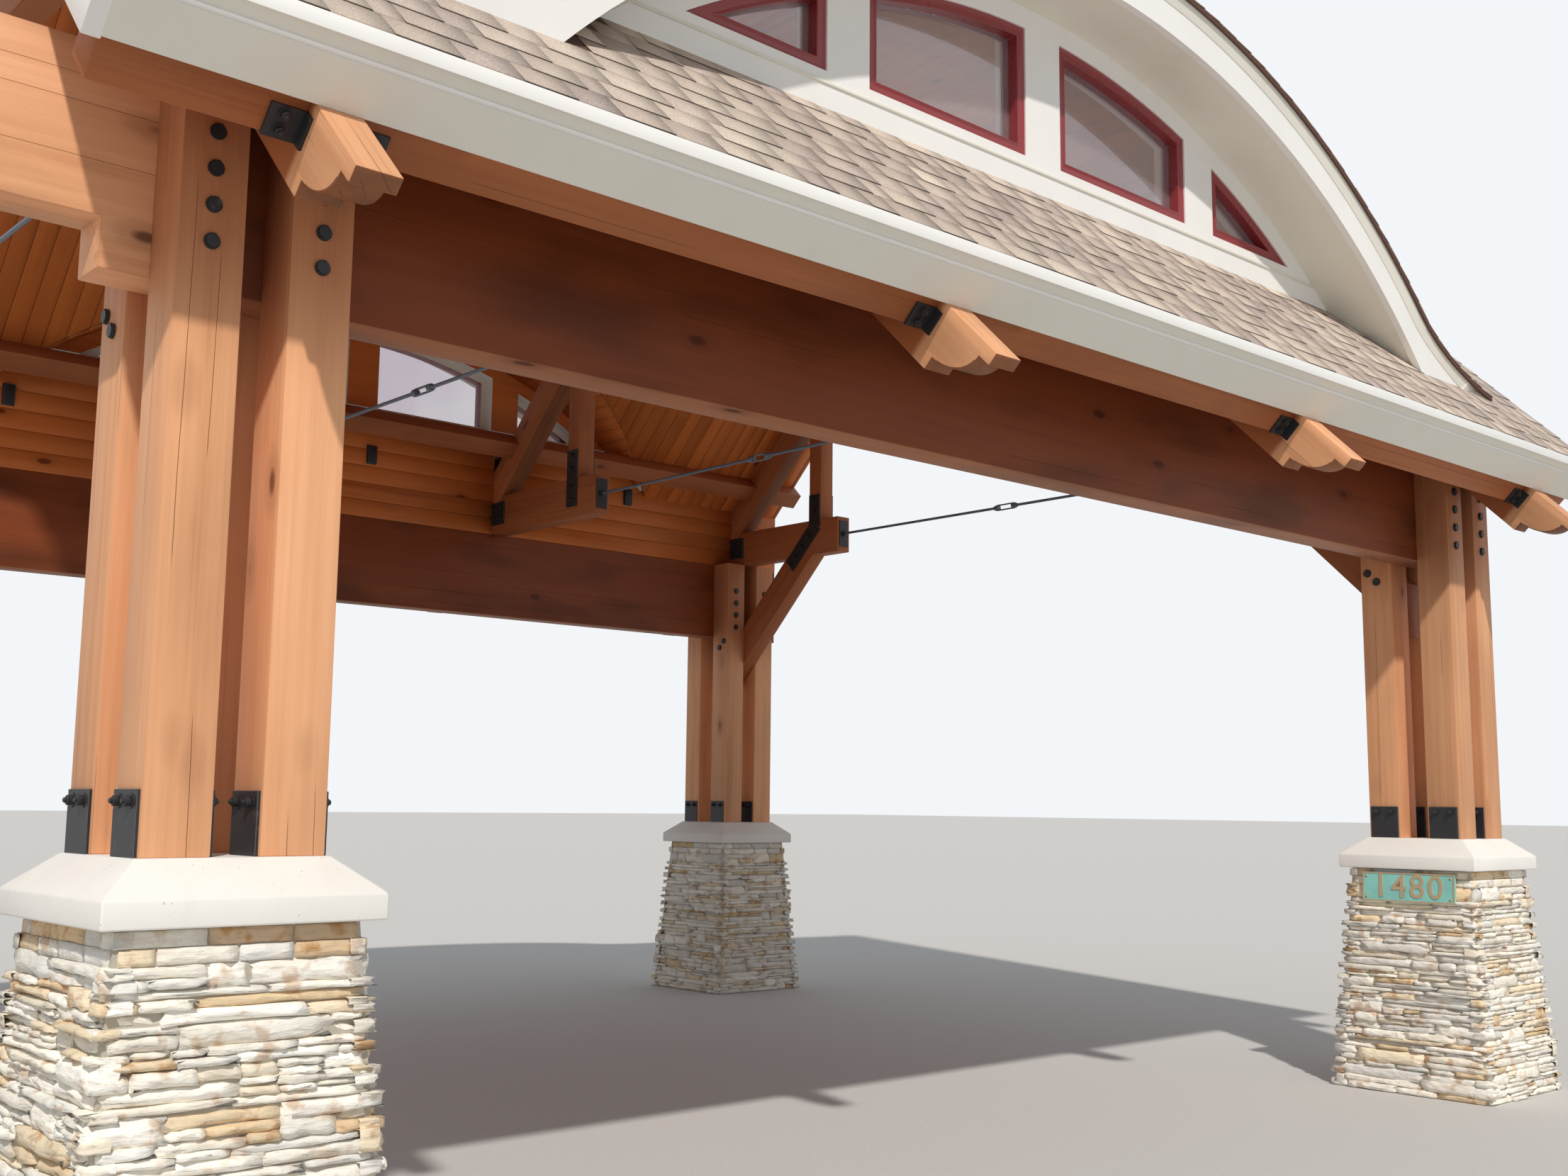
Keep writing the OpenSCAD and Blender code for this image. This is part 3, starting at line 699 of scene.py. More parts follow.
def gathered(name, runs, smooth=None):
    """One mesh of many copies. A run is a shape, its copies' corners, and marks for each copy."""
    points, loops, starts, marks = [], [], [], {}
    first = loop = 0
    for shape, places, facts in runs:
        if not len(places):
            continue
        count, size = places.shape[:2]
        points.append(places.reshape(-1, 3))
        tri = places[:, shape.triangles] - places.mean(1)[:, None, None]
        volume = np.einsum("kij,kij->k", tri[:, :, 0], np.cross(tri[:, :, 1], tri[:, :, 2]))
        ahead = np.concatenate([np.array(f) for f in shape.faces])
        back = np.concatenate([np.array(f[::-1]) for f in shape.faces])
        table = np.where((volume < 0)[:, None], back, ahead)
        loops.append((table + (first + np.arange(count) * size)[:, None]).ravel())
        lengths = np.array([len(f) for f in shape.faces])
        begin = np.concatenate([[0], np.cumsum(lengths)[:-1]])
        starts.append((begin + (loop + np.arange(count) * len(ahead))[:, None]).ravel())
        first += count * size
        loop += count * len(ahead)
        for key, values in facts.items():
            values = np.asarray(values, float)
            if values.ndim == 1:
                values = np.repeat(values, size)
            else:
                values = values.reshape(-1, 3) if values.ndim == 3 else values.ravel()
            marks.setdefault(key, []).append(values)
    mesh = bpy.data.meshes.new(name)
    flat = np.concatenate(points)
    loops = np.concatenate(loops).astype(np.int32)
    starts = np.concatenate(starts).astype(np.int32)
    mesh.vertices.add(len(flat))
    mesh.vertices.foreach_set("co", flat.astype(np.float32).ravel())
    mesh.loops.add(len(loops))
    mesh.loops.foreach_set("vertex_index", loops)
    mesh.polygons.add(len(starts))
    mesh.polygons.foreach_set("loop_start", starts)
    mesh.update(calc_edges=True)
    for key, values in marks.items():
        mark(mesh, key, np.concatenate(values))
    made = bpy.data.objects.new(name, mesh)
    bpy.context.scene.collection.objects.link(made)
    return smoothed(made, smooth) if smooth else made


def settled(piece, slot, look, *nodes):
    """Gives a finished piece its material and its body, and hides what it stands for; its slot is
    not used.
    """
    piece.data.materials.clear()
    piece.data.materials.append(looks()[look])
    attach(piece, "root")
    if nodes:
        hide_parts(*nodes)
    return piece


# Settings in the sidebar


def length(name, description, default, low, high):
    return FloatProperty(name=name, description=description, default=default, min=low, max=high,
                         unit="LENGTH")


def colour(name, description, default):
    return FloatVectorProperty(name=name, description=description, default=default, size=3,
                               subtype="COLOR", min=0.0, max=1.0)


class CanopySizes(bpy.types.PropertyGroup):
    """Sizes of what is laid on the frame."""

    stone_low: length("Thinnest stone", "Height of the thinnest course of ledge stone", 0.021,
                      0.01, 0.04)
    stone_high: length("Thickest stone", "Height of the thickest course of ledge stone", 0.046,
                       0.03, 0.1)
    shingle_step: length("Shingle exposure", "Height of a shingle course that shows", 0.143, 0.1,
                         0.2)
    ceiling_board: length("Ceiling board", "Width of a ceiling board that shows", 0.13, 0.08, 0.2)
    wall_board: length("Wall board", "Height of a wall plank that shows", 0.1368, 0.08, 0.2)
    groove: length("Board groove", "Depth of the V groove between boards", 0.006, 0.002, 0.012)
    timber_ease: length("Timber edge", "Width of the eased edge of a timber", 0.005, 0.001, 0.02)
    bolt_radius: length("Bolt head", "Radius of a through bolt's head", 0.025, 0.01, 0.04)
    seed: IntProperty(name="Seed", description="Start of the random choice of stones and tabs",
                      default=7, min=0)


class CanopyColours(bpy.types.PropertyGroup):
    """Colours of the finishes."""

    timber: colour("Timber", "Stained structural timber", (0.4, 0.132, 0.047))
    # The eave beams' colour is the timber painted darker as shade, for beams that stand in the
    # eave's shade.
    beam: colour("Beam", "Darker stain of the eave beams", (0.22, 0.053, 0.016))
    # A pale colour painted on posts, rafter tails and the eave beams' gable ends where sunlight
    # falls on them.
    faded: colour("Faded timber", "Posts and tails that the sun has bleached",
                  (0.78, 0.4, 0.21))
    boards: colour("Boards", "Stained ceiling and wall boards", (0.64, 0.185, 0.042))
    stone: colour("Stone", "Main colour of the ledge stone", (0.91, 0.87, 0.78))
    cast_stone: colour("Cast stone", "Pier caps", (0.93, 0.91, 0.87))
    trim: colour("Trim", "Painted dormer walls and trim", (0.9, 0.895, 0.875))
    fascia: colour("Fascia", "Painted fascia boards", (0.82, 0.8, 0.72))
    shingle: colour("Shingles", "Middle colour of the roof shingles", (0.61, 0.5, 0.43))
    black_steel: colour("Black steel", "Plates, straps and bolts", (0.03, 0.03, 0.034))
    rod_steel: colour("Rod steel", "Tie rods and turnbuckles", (0.15, 0.18, 0.23))
    window_paint: colour("Window paint", "Sashes and frames", (0.27, 0.03, 0.036))
    glass: colour("Glass", "Tint of the window glass", (0.9, 0.86, 0.89))
    verdigris: colour("Number plate", "Weathered number plate", (0.28, 0.66, 0.6))
    bronze: colour("Numbers", "Numbers, rim and screws of the plate", (0.52, 0.39, 0.24))


def sizes():
    return bpy.context.scene.canopy_sizes


# Piers


def stone_shape(seed, ragged=1.0):
    """A split stone in a unit box: length along X, face towards +Y, height along Z."""
    chance = np.random.default_rng(seed)
    piece = block((-0.5, -0.5, -0.5), (0.5, 0.5, 0.5))
    with editing(piece):
        for place in (-0.32, -0.08, 0.14, 0.36):
            cut(place, (1, 0, 0))
        for place in (-0.2, 0.22):
            cut(place, (0, 0, 1))
    with editing(piece, "FACE", lambda f: f.normal.y < -0.9):
        bpy.ops.mesh.delete(type="ONLY_FACE")
    for v in piece.data.vertices:
        x, y, z = v.co
        rim = max(abs(x), abs(z)) > 0.49
        if y > 0:
            v.co.y = 0.5 - (0.16 * ragged if rim else 0) + chance.uniform(-0.16, 0.1) * ragged
        v.co.x += chance.uniform(-0.035, 0.035) * ragged
        v.co.z += chance.uniform(-0.11, 0.08) * (0.8 if rim else 1.2) * ragged
    return Shape(piece)


class Wall:
    """One leaning side of a pier: where a spot s along it, d out of it and z up it is."""

    def __init__(self, centre, normal, foot, top):
        self.centre = Vector(centre)
        self.normal = Vector((*normal, 0))
        self.along = self.normal.cross(Vector((0, 0, 1)))
        self.foot, self.top = foot, top

    def half(self, z):
        """Half the width, and the distance from the pier's middle line, at a height."""
        share = z / PIER_H
        return [low + (high - low) * share for low, high in zip(self.foot, self.top)]

    def put(self, shape, s0, s1, z0, z1, out, depth):
        """Corners of a stone between two spots and two heights, its face a bit out of the side."""
        z = (z0 + z1) / 2
        lean = (self.foot[1] - self.top[1]) / PIER_H
        along, deep, height = shape.points.T
        along = (s0 + s1) / 2 + along * (s1 - s0)
        height = z + height * (z1 - z0)
        away = self.half(z)[1] + out - depth / 2 + deep * depth - (height - z) * lean
        return (np.array(self.centre) + np.outer(along, self.along)
                + np.outer(away, self.normal) + np.outer(height, (0, 0, 1)))


def pier_stones(node, name, seed):
    """Ledge stones round one pier, with two flatter courses under the cap."""
    batter, flat_from, flat_mid, flat_to = 0.102, PIER_H - 0.1, PIER_H - 0.052, PIER_H - 0.004
    lengths, tallest, split_from = (0.12, 0.18, 0.26, 0.36, 0.48), 0.085, 0.034
    low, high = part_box(node)
    centre = ((low.x + high.x) / 2, (low.y + high.y) / 2, 0)
    foot = ((high.x - low.x) / 2, (high.y - low.y) / 2)
    top = (foot[0] - batter, foot[1] - batter)
    walls = [Wall(centre, n, *((foot[::-1], top[::-1]) if n[0] else (foot, top)))
             for n in ((1, 0), (0, 1), (-1, 0), (0, -1))]
    chance = np.random.default_rng(seed)
    split = [stone_shape(seed * 10 + k) for k in range(7)]
    flat = [stone_shape(seed * 10 + 8 + k, 0.35) for k in range(2)]
    found = {shape: ([], [], []) for shape in split + flat}
    levels = [0.0]
    while levels[-1] < flat_from - 0.05:
        levels.append(levels[-1] + chance.uniform(sizes().stone_low, sizes().stone_high))
    levels[-1] = flat_from
    rough_rows = len(levels) - 1
    levels += [flat_mid, flat_to]

    def add(wall, s0, s1, z0, z1, row):
        rough = row < rough_rows
        shape = split[chance.integers(len(split))] if rough else flat[chance.integers(2)]
        out = chance.normal(0.003, 0.0075) if rough else chance.uniform(-0.012, -0.006)
        gap = chance.uniform(0.001, 0.003) if rough else 0.004
        z_shift = chance.uniform(-0.003, 0.003) if rough else 0
        out = float(np.clip(out, -0.016, 0.019))
        placed = wall.put(shape, s0 + gap, s1 - gap, z0 + gap * 0.5 + z_shift,
                          z1 - gap * 0.5 + z_shift, out, 0.075 if rough else 0.05)
        placed[:, 2] = np.maximum(placed[:, 2], 0.001)
        spots, hues, tones = found[shape]
        spots.append(placed)
        hues.append(chance.beta(2.2, 2.2) if rough else chance.uniform(0.05, 1))
        tones.append(chance.uniform(0, 1))

    for side, wall in enumerate(walls):
        taken = {}
        for row in range(len(levels) - 1):
            z0, z1 = levels[row], levels[row + 1]
            wide = wall.half((z0 + z1) / 2)[0]
            rough = row < rough_rows
            owns_left = (row + side) % 2 == 0
            reach = chance.uniform(0.004, 0.016) if rough else 0.0
            s = -wide - (reach if owns_left else -0.03)
            end = wide + (-0.03 if owns_left else reach)
            blocked = taken.get(row, [])
            while s < end - 0.02:
                for b0, b1 in blocked:
                    if b0 - 0.005 <= s < b1:
                        s = b1
                long = chance.choice(lengths) * chance.uniform(0.8, 1.25)
                if not rough:
                    long = chance.uniform(0.15, 0.32)
                stop = min([s + long, end] + [b0 for b0, b1 in blocked if b0 > s])
                if end - stop < 0.06 and not any(b0 >= stop for b0, b1 in blocked):
                    stop = end
                if stop - s < 0.012:
                    s = stop + 0.001
                    continue
                tall = (rough and row + 2 <= rough_rows and chance.random() < 0.1
                        and levels[row + 2] - z0 < tallest)
                thin = rough and z1 - z0 > split_from and chance.random() < 0.3
                if tall:
                    taken.setdefault(row + 1, []).append((s, stop))
                    add(wall, s, stop, z0, levels[row + 2], row)
                elif thin:
                    middle = z0 + (z1 - z0) * chance.uniform(0.4, 0.6)
                    part = s + (stop - s) * chance.uniform(0.35, 0.65)
                    if stop - s > 0.22:
                        add(wall, s, part, z0, middle, row)
                        add(wall, part, stop, z0, middle, row)
                    else:
                        add(wall, s, stop, z0, middle, row)
                    add(wall, s, stop, middle, z1, row)
                else:
                    add(wall, s, stop, z0, z1, row)
                s = stop
    runs = [(shape, np.array(spots), {"hue": hues, "tone": tones})
            for shape, (spots, hues, tones) in found.items() if spots]
    return gathered(name, runs)


class CANOPY_OT_piers(bpy.types.Operator):
    """Lay ledge stones round a mortar core on all four piers"""

    bl_idname = "canopy.piers"
    bl_label = "Stone piers"

    def execute(self, context):
        for k, spot in enumerate(SPOTS):
            node = "pier_" + spot
            core = refined(node, "pier_core_" + spot, ease=0)
            low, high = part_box(node)
            middle = (low + high) / 2
            with editing(core):
                bpy.ops.transform.resize(value=(0.95, 0.95, 1),
                                         center_override=(middle.x, middle.y, 0))
            settled(core, "stonework", "mortar", node)
            stones = pier_stones(node, "pier_stones_" + spot, sizes().seed * 5 + k)
            settled(stones, "stonework", "stonework", node)
        return {"FINISHED"}


class CANOPY_OT_caps(bpy.types.Operator):
    """Cast caps with softened edges"""

    bl_idname = "canopy.caps"
    bl_label = "Pier caps"

    def execute(self, context):
        for spot in SPOTS:
            cap = refined("cap_" + spot, "cast_cap_" + spot, 0.007, 3)
            settled(cap, "cast_stone", "cast_stone", "cap_" + spot)
        return {"FINISHED"}


# Timbers


TIMBERS = (
    "posts_outer_near", "posts_outer_far", "posts_inner_near", "posts_inner_far",
    "eave_beam_near", "eave_beam_far", "principal_rafters", "hammer_beams", "hammer_posts",
    "knee_braces", "collars", "king_posts", "eave_purlins", "upper_purlins", "ridge_beam",
)


class CANOPY_OT_timbers(bpy.types.Operator):
    """Timbers with eased edges and a grain that follows each stick"""

    bl_idname = "canopy.timbers"
    bl_label = "Timber frame"

    def execute(self, context):
        special = {"posts": "posts", "eave_beam": "beam", "principal": "rafter"}
        for k, node in enumerate(TIMBERS):
            timber = refined(node, "timber_" + node, sizes().timber_ease, 2, 25)
            grained(timber, sizes().seed * 31 + k)
            look = [special[start] for start in special if node.startswith(start)]
            settled(timber, "timber", *(look or ["timber"]), node)
        return {"FINISHED"}


# Steel


def bolt_shape(radius):
    """A timber bolt's head on its washer: a rim, a dished face and a boss, out along Z."""
    piece = disc(12, radius, 0, 0.009)
    for inset, rise in ((0.16, 0.0045), (0.2, -0.0035), (0.22, 0.0), (0.04, 0.006)):
        top = max(piece.data.polygons, key=lambda f: (round(f.normal.z, 3), -f.area)).index
        with editing(piece, "FACE", lambda f: f.index == top):
            bpy.ops.mesh.inset(thickness=radius * inset)
            if rise:
                bpy.ops.mesh.extrude_region_move(TRANSFORM_OT_translate={"value": (0, 0, rise)})
    return Shape(piece)


def nut_shape(radius, reach):
    """A hexagon nut with the bolt's round end standing out of it, along Z."""
    washer_t = 0.003
    washer = disc(14, radius * 1.35, 0, washer_t)
    nut = disc(6, radius, washer_t, washer_t + reach * 0.6)
    tip = disc(10, radius * 0.52, 0, reach)
    return Shape(joined("nut", [eased(nut, radius * 0.12, 1), washer,
                                eased(tip, radius * 0.12, 1)]))


def aimed(shape, spots):
    """Copies of a shape that point along Z, each at a spot and turned towards a direction."""
    places = []
    for spot, towards in spots:
        turn = Vector(towards).to_track_quat("Z", "Y").to_matrix()
        places.append(shape.points @ np.array(turn).T + np.array(spot))
    return np.array(places)


def steel_set(name, shape, spots, smooth):
    """One black steel piece of many bolts."""
    made = gathered(name, [(shape, aimed(shape, spots), {})], smooth)
    settled(made, "black_steel", "black_steel")


def truss_face_spots(points, trusses=range(4)):
    """Spots on both faces of the trusses, on both sides, from places on the near half."""
    return [((side * x, TRUSS_Y[i] + face * (TRUSS_T / 2 + PLATE_T), z), (0, face, 0))
            for i, face, side, (x, z) in product(trusses, BOTH, BOTH, points)]


class CANOPY_OT_plates(bpy.types.Operator):
    """Steel shoes, straps, heel plates and angles, with their bolts"""

    bl_idname = "canopy.plates"
    bl_label = "Steel plates"

    def execute(self, context):
        for node in ("post_shoes", "truss_straps", "heel_plates", "purlin_angles"):
            plate = refined(node, "steel_" + node, 0.0015, 1)
            if node == "truss_straps":
                self.turn_over(plate)
            settled(plate, "black_steel", "black_steel", node)
        spots = self.shoe_spots() + self.truss_spots() + self.angle_spots()
        steel_set("plate_nuts", nut_shape(0.016, 0.028), spots, 30)
        return {"FINISHED"}

    def shoe_spots(self):
        """Two nuts on both faces of every post's shoe."""
        nut_z, nut_dx = 1.655, 0.045
        spots = []
        for i, side, dx, dy, face in product(END_TRUSSES, BOTH, BOTH, BOTH, BOTH):
            x = side * SPAN_HALF + dx * POST_DX
            y = TRUSS_Y[i] + dy * POST_DY + face * (POST / 2 + PLATE_T)
            spots += [((x + shift, y, nut_z), (0, face, 0)) for shift in (-nut_dx, nut_dx)]
        return spots

    def truss_spots(self):
        """Nuts down the straps, whose lower legs are bent on the end trusses, and on the heels."""
        upper = [(STRAP_X, z) for z in (4.38, 4.27)]
        bent = [(STRAP_X + d * HALF, ELBOW_Z - d * HALF) for d in (0.1, 0.22, 0.34, 0.43)]
        straight = [(STRAP_X, z) for z in (4.12, 4.02)]
        heels = list(product((3.19, 3.285), (4.0, 4.09)))
        return (truss_face_spots(upper) + truss_face_spots(bent, END_TRUSSES)
                + truss_face_spots(straight, MIDDLE_TRUSSES) + truss_face_spots(heels))

    def angle_spots(self):
        """Two nuts on each steel angle under the eave purlins."""
        past_eave, nut_dy = 0.01, 0.065
        spots = []
        for i, face, side, n in product(range(4), BOTH, BOTH, (0.065, 0.115)):
            x, z = roof_point(EAVE_U + past_eave, n, side)
            y = TRUSS_Y[i] + face * (TRUSS_T / 2 + nut_dy)
            spots.append(((x, y, z), (side * HALF, 0, -HALF)))
        return spots

    def turn_over(self, straps):
        """Mirrors the end trusses' straps, so that their bent legs lie along the braces."""
        for v in straps.data.vertices:
            if any(abs(v.co.y - TRUSS_Y[i]) < 0.2 for i in END_TRUSSES):
                v.co.x = math.copysign(2 * STRAP_X, v.co.x) - v.co.x
        smoothed(outward(straps))


class CANOPY_OT_bolts(bpy.types.Operator):
    """Through bolts of the posts and the braces"""

    bl_idname = "canopy.bolts"
    bl_label = "Through bolts"

    def execute(self, context):
        beam_bolts = (3.287, 3.399, 3.511, 3.624)
        brace_bolts = ((3.175, 3.153), (3.234, 3.095))
        spots = []
        for i, side, dy in product(END_TRUSSES, BOTH, BOTH):
            y = TRUSS_Y[i] + dy * POST_DY
            for z, out in product(beam_bolts, (1, -1)):
                x = SPAN_HALF + out * (POST_DX + POST / 2)
                spots.append(((side * x, y, z), (side * out, 0, 0)))
            for x, z in brace_bolts:
                spots.append(((side * x, y + dy * POST / 2, z), (0, dy, 0)))
        steel_set("through_bolts", bolt_shape(sizes().bolt_radius), spots, 40)
        return {"FINISHED"}


def turnbuckle(y):
    """An open turnbuckle: two side bars between two threaded heads."""
    left, right, lap = -0.13, 0.08, 0.015
    head_long, head_r = 0.038, 0.023
    neck_long, neck_r = 0.016, 0.0165
    bar_dz, wide, tall = 0.02, 0.007, 0.0055
    parts = []
    for x, way in ((left, 1), (right, -1)):
        start, inward = Vector((x, y, ROD_Z)), Vector((way, 0, 0))
        parts.append(eased(rod(start, start + inward * head_long, head_r, 16), 0.004))
        parts.append(eased(rod(start - inward * neck_long, start, neck_r, 6), 0.002, 1))
    for z in (ROD_Z - bar_dz, ROD_Z + bar_dz):
        bar = block((left + lap, y - wide, z - tall), (right - lap, y + wide, z + tall))
        parts.append(eased(bar, 0.003))
    return parts


class CANOPY_OT_tie_rods(bpy.types.Operator):
    """Tie rods with open turnbuckles, nuts and anchor plates"""

    bl_idname = "canopy.tie_rods"
    bl_label = "Tie rods"

    def execute(self, context):
        rod_r, nut_r, nut_long, washer_r, washer_t = 0.011, 0.02, 0.02, 0.031, 0.005
        plate_half, plate_rise = 0.05, 0.117
        parts, anchors = [], []
        for y in TRUSS_Y:
            parts += turnbuckle(y)
            for x0, x1 in ((-ROD_END - 0.001, -0.1), (0.05, ROD_END + 0.001)):
                parts.append(rod((x0, y, ROD_Z), (x1, y, ROD_Z), rod_r, 16))
            for side in BOTH:
                end, nut, washer = ((side * (ROD_END - d), y, ROD_Z)
                                    for d in (0, nut_long, washer_t))
                plate = block((side * ROD_END, y - plate_half, ROD_Z - plate_rise),
                              (side * (ROD_END + PLATE_T), y + plate_half, ROD_Z + plate_rise))
                anchors.append(eased(plate, 0.002, 1))
                anchors.append(eased(rod(end, nut, nut_r, 6), 0.0025, 1))
                anchors.append(rod(end, washer, washer_r, 20))
        rods = smoothed(joined("tie_rod_set", parts), 35)
        settled(rods, "rod_steel", "rod_steel", "tie_rods")
        plates = smoothed(joined("rod_anchors", anchors), 35)
        settled(plates, "black_steel", "black_steel")
        return {"FINISHED"}


# Boards


def board_shape(groove):
    """A board in a unit box, X along and Y across, its grooved face at Z = 0 and its back at 1."""
    board = block((0, 0, 0), (1, 1, 1))

    def long_and_low(edge):
        a, b = ends(board, edge)
        return max(a.z, b.z) < 0.01 and abs(a.y - b.y) < 0.01

    with editing(board, "EDGE", long_and_low):
        bpy.ops.mesh.bevel(offset=groove, segments=1)
    return Shape(board)


class Boards:
    """Boards of one shape, each with its own grain and tone."""

    def __init__(self, shape, chance):
        self.shape, self.chance = shape, chance
        self.places, self.grains, self.tones = [], [], []

    def add(self, place, grain):
        self.places.append(np.stack(place, 1))
        shift = self.chance.uniform((-40, -0.5, -0.5), (40, 0.5, 0.5))
        self.grains.append(np.stack(grain, 1) + shift)
        self.tones.append(self.chance.uniform(0.0, 1.0))

    def lay(self, name, *nodes):
        # Corners below a board's face, in its grooves and at its back, get the grooves' painted
        # shade.
        sunk = (self.shape.points[:, 2] > 0.01).astype(float)
        facts = {"grain": np.array(self.grains), "tone": self.tones,
                 "groove": np.tile(sunk, (len(self.tones), 1))}
        boards = gathered(name, [(self.shape, np.array(self.places), facts)])
        settled(boards, "boards", "boards", *nodes)


def depths(shape, thick):
    """How deep the corners of a board lie: at its face, in its grooves or at its back."""
    deep = shape.points[:, 2]
    return np.where((deep > 0.01) & (deep < 0.99), sizes().groove, deep * thick)


def cut_height(y):
    """Height at which the dormer's vault cuts a slope, at a place along the ridge."""
    return ARCH_Z + math.sqrt(max(ARCH_IN ** 2 - (y - DORMER_Y) ** 2, 0))


class CANOPY_OT_ceiling(bpy.types.Operator):
    """Tongued boards up the inside of both slopes, cut round the dormers"""

    bl_idname = "canopy.ceiling"
    bl_label = "Board ceiling"

    def execute(self, context):
        shape = board_shape(0.035)
        along, across, _ = shape.points.T
        deep = depths(shape, 0.037)
        chance = np.random.default_rng(sizes().seed + 3)
        sill_u = WALL_FACE / HALF
        for name, side in SIDES:
            boards = Boards(shape, chance)
            y0 = RAKE_Y
            while y0 < WALL_Y - 0.01:
                y1 = min(y0 + sizes().ceiling_board, WALL_Y)
                vault_u = [min((RIDGE_Z - cut_height(y)) / HALF, sill_u) for y in (y0, y1)]
                parts = [(0, (EAVE_U, EAVE_U))]
                if min(vault_u) < sill_u - 0.05:
                    parts = [(0, vault_u), (sill_u, (EAVE_U, EAVE_U))]
                for start, stop in parts:
                    stop = stop[0] + (stop[1] - stop[0]) * across
                    u = np.maximum(start + (stop - start) * along, -deep)
                    y = y0 + across * (y1 - y0)
                    x, z = roof_point(u, -deep, side)
                    boards.add((x, y, z), (u, y - y0, deep))
                y0 = y1
            boards.lay("ceiling_boards_" + name, "ceiling_" + name)
            self.vault(name, side, Boards(shape, chance))
        return {"FINISHED"}

    def vault(self, name, side, boards):
        """Boards along the dormer's round space, from the slope to the wall's planks."""
        along, across, _ = boards.shape.points.T
        deep = depths(boards.shape, 0.01)
        turns = np.arange(-0.724, 0.73, sizes().ceiling_board / ARCH_R)
        for start, stop in zip(turns[:-1], turns[1:]):
            angle = start + across * (stop - start)
            y = DORMER_Y + (ARCH_R + deep) * np.sin(angle)
            z = ARCH_Z + (ARCH_R + deep) * np.cos(angle)
            x = RIDGE_Z - z
            x += along * (BEAM_IN - x)
            boards.add((side * x, y, z), (x, across * 0.13, deep))
        boards.lay("dormer_vault_" + name)


class CANOPY_OT_plank_walls(bpy.types.Operator):
    """Level planks on the eave beams, between the trusses and up into the dormers"""

    bl_idname = "canopy.plank_walls"
    bl_label = "Plank walls"

    def execute(self, context):
        step = sizes().wall_board
        shape = board_shape(0.03)
        along, across, deep = shape.points.T
        deep = deep * (BEAM_OUT - BEAM_IN) / 2
        chance = np.random.default_rng(sizes().seed + 4)
        bays = [(y + TRUSS_T / 2, y1 - TRUSS_T / 2) for y, y1 in zip(TRUSS_Y, TRUSS_Y[1:])]
        bays.append((TRUSS_Y[-1] + TRUSS_T / 2, WALL_Y))
        for name, side in SIDES:
            planks = Boards(shape, chance)
            for (y0, y1), row in product(bays, range(6)):
                z0 = BEAM_TOP + row * step
                if row >= 4:
                    reach = math.sqrt(ARCH_IN ** 2 - (z0 - ARCH_Z) ** 2) + 0.02
                    y0, y1 = max(y0, DORMER_Y - reach), min(y1, DORMER_Y + reach)
                if y1 - y0 < 0.05:
                    continue
                for x in (BEAM_IN + deep, BEAM_OUT - deep):
                    y = y0 + along * (y1 - y0)
                    z = z0 + across * step
                    planks.add((side * x, y, z), (y, z - z0, deep))
            planks.lay("wall_planks_" + name, "plank_wall_" + name)
        return {"FINISHED"}


# Roof


Tab = namedtuple("Tab", "start width upper hue tone")


def tab_shape():
    """A shingle tab in a unit box: X across, Y up the slope from its lower edge, Z its thickness."""
    tab = block((0, 0, 0), (1, 1, 1))
    with editing(tab, "EDGE", lambda e: all(c.z > 0.9 and c.y < 0.1 for c in ends(tab, e))):
        bpy.ops.mesh.bevel(offset=0.05, segments=1)
    return Shape(tab)


def course(chance, start, stop):
    """Tabs along one course, mostly by turns of the lower and of the upper layer."""
    tabs = []
    s = start - chance.uniform(0, 0.15)
    upper = chance.random() < 0.5
    while s < stop:
        width = chance.uniform(0.12, 0.28) if upper else chance.uniform(0.1, 0.24)
        a, b = max(s, start), min(s + width, stop)
        if b - a > 0.008:
            hue = np.clip(chance.normal(0.6 if upper else 0.46, 0.12), 0, 1)
            tabs.append(Tab(a, b - a, upper, hue, chance.uniform(0, 1)))
        s += width
        upper = not upper if chance.random() < 0.86 else upper
    return tabs


class Shingles:
    """The tabs of one roof, gathered course by course."""

    def __init__(self):
        self.shape, self.step = tab_shape(), sizes().shingle_step
        self.places, self.tabs = [], []

    def spread(self, tabs):
        """Across, up and thickness of every tab's corners; the upper layer lies on the lower."""
        start, width, upper = (np.array([[t[k]] for t in tabs], float) for k in range(3))
        x, y, z = self.shape.points.T
        lean = np.where(upper > 0, 0.0015, -0.0015)
        across = start + lean * y + np.maximum(width - lean * 2 * y, 0.004) * x
        up = y * (self.step + 0.012) * np.ones_like(across)
        bottom = np.where(upper > 0, 0.0024, 0.0)
        thick = (1 - y) * (bottom + z * 0.0045) + y * (z * 0.0036)
        return across, up, thick

    def add(self, tabs, *place):
        self.places.append(np.stack(place, 2))
        self.tabs += tabs

    def lay(self, name):
        # Each tab's lowest corners carry the painted shadow of its lower edge, fully on the upper
        # layer and about a third on the lower.
        low = (self.shape.points[:, 1] < 0.02).astype(float)
        facts = {"hue": [t.hue for t in self.tabs], "tone": [t.tone for t in self.tabs],
                 "butt": np.array([low * (1.0 if t.upper else 0.35) for t in self.tabs])}
        cover = gathered(name, [(self.shape, np.concatenate(self.places), facts)])
        settled(cover, "shingles", "shingles")


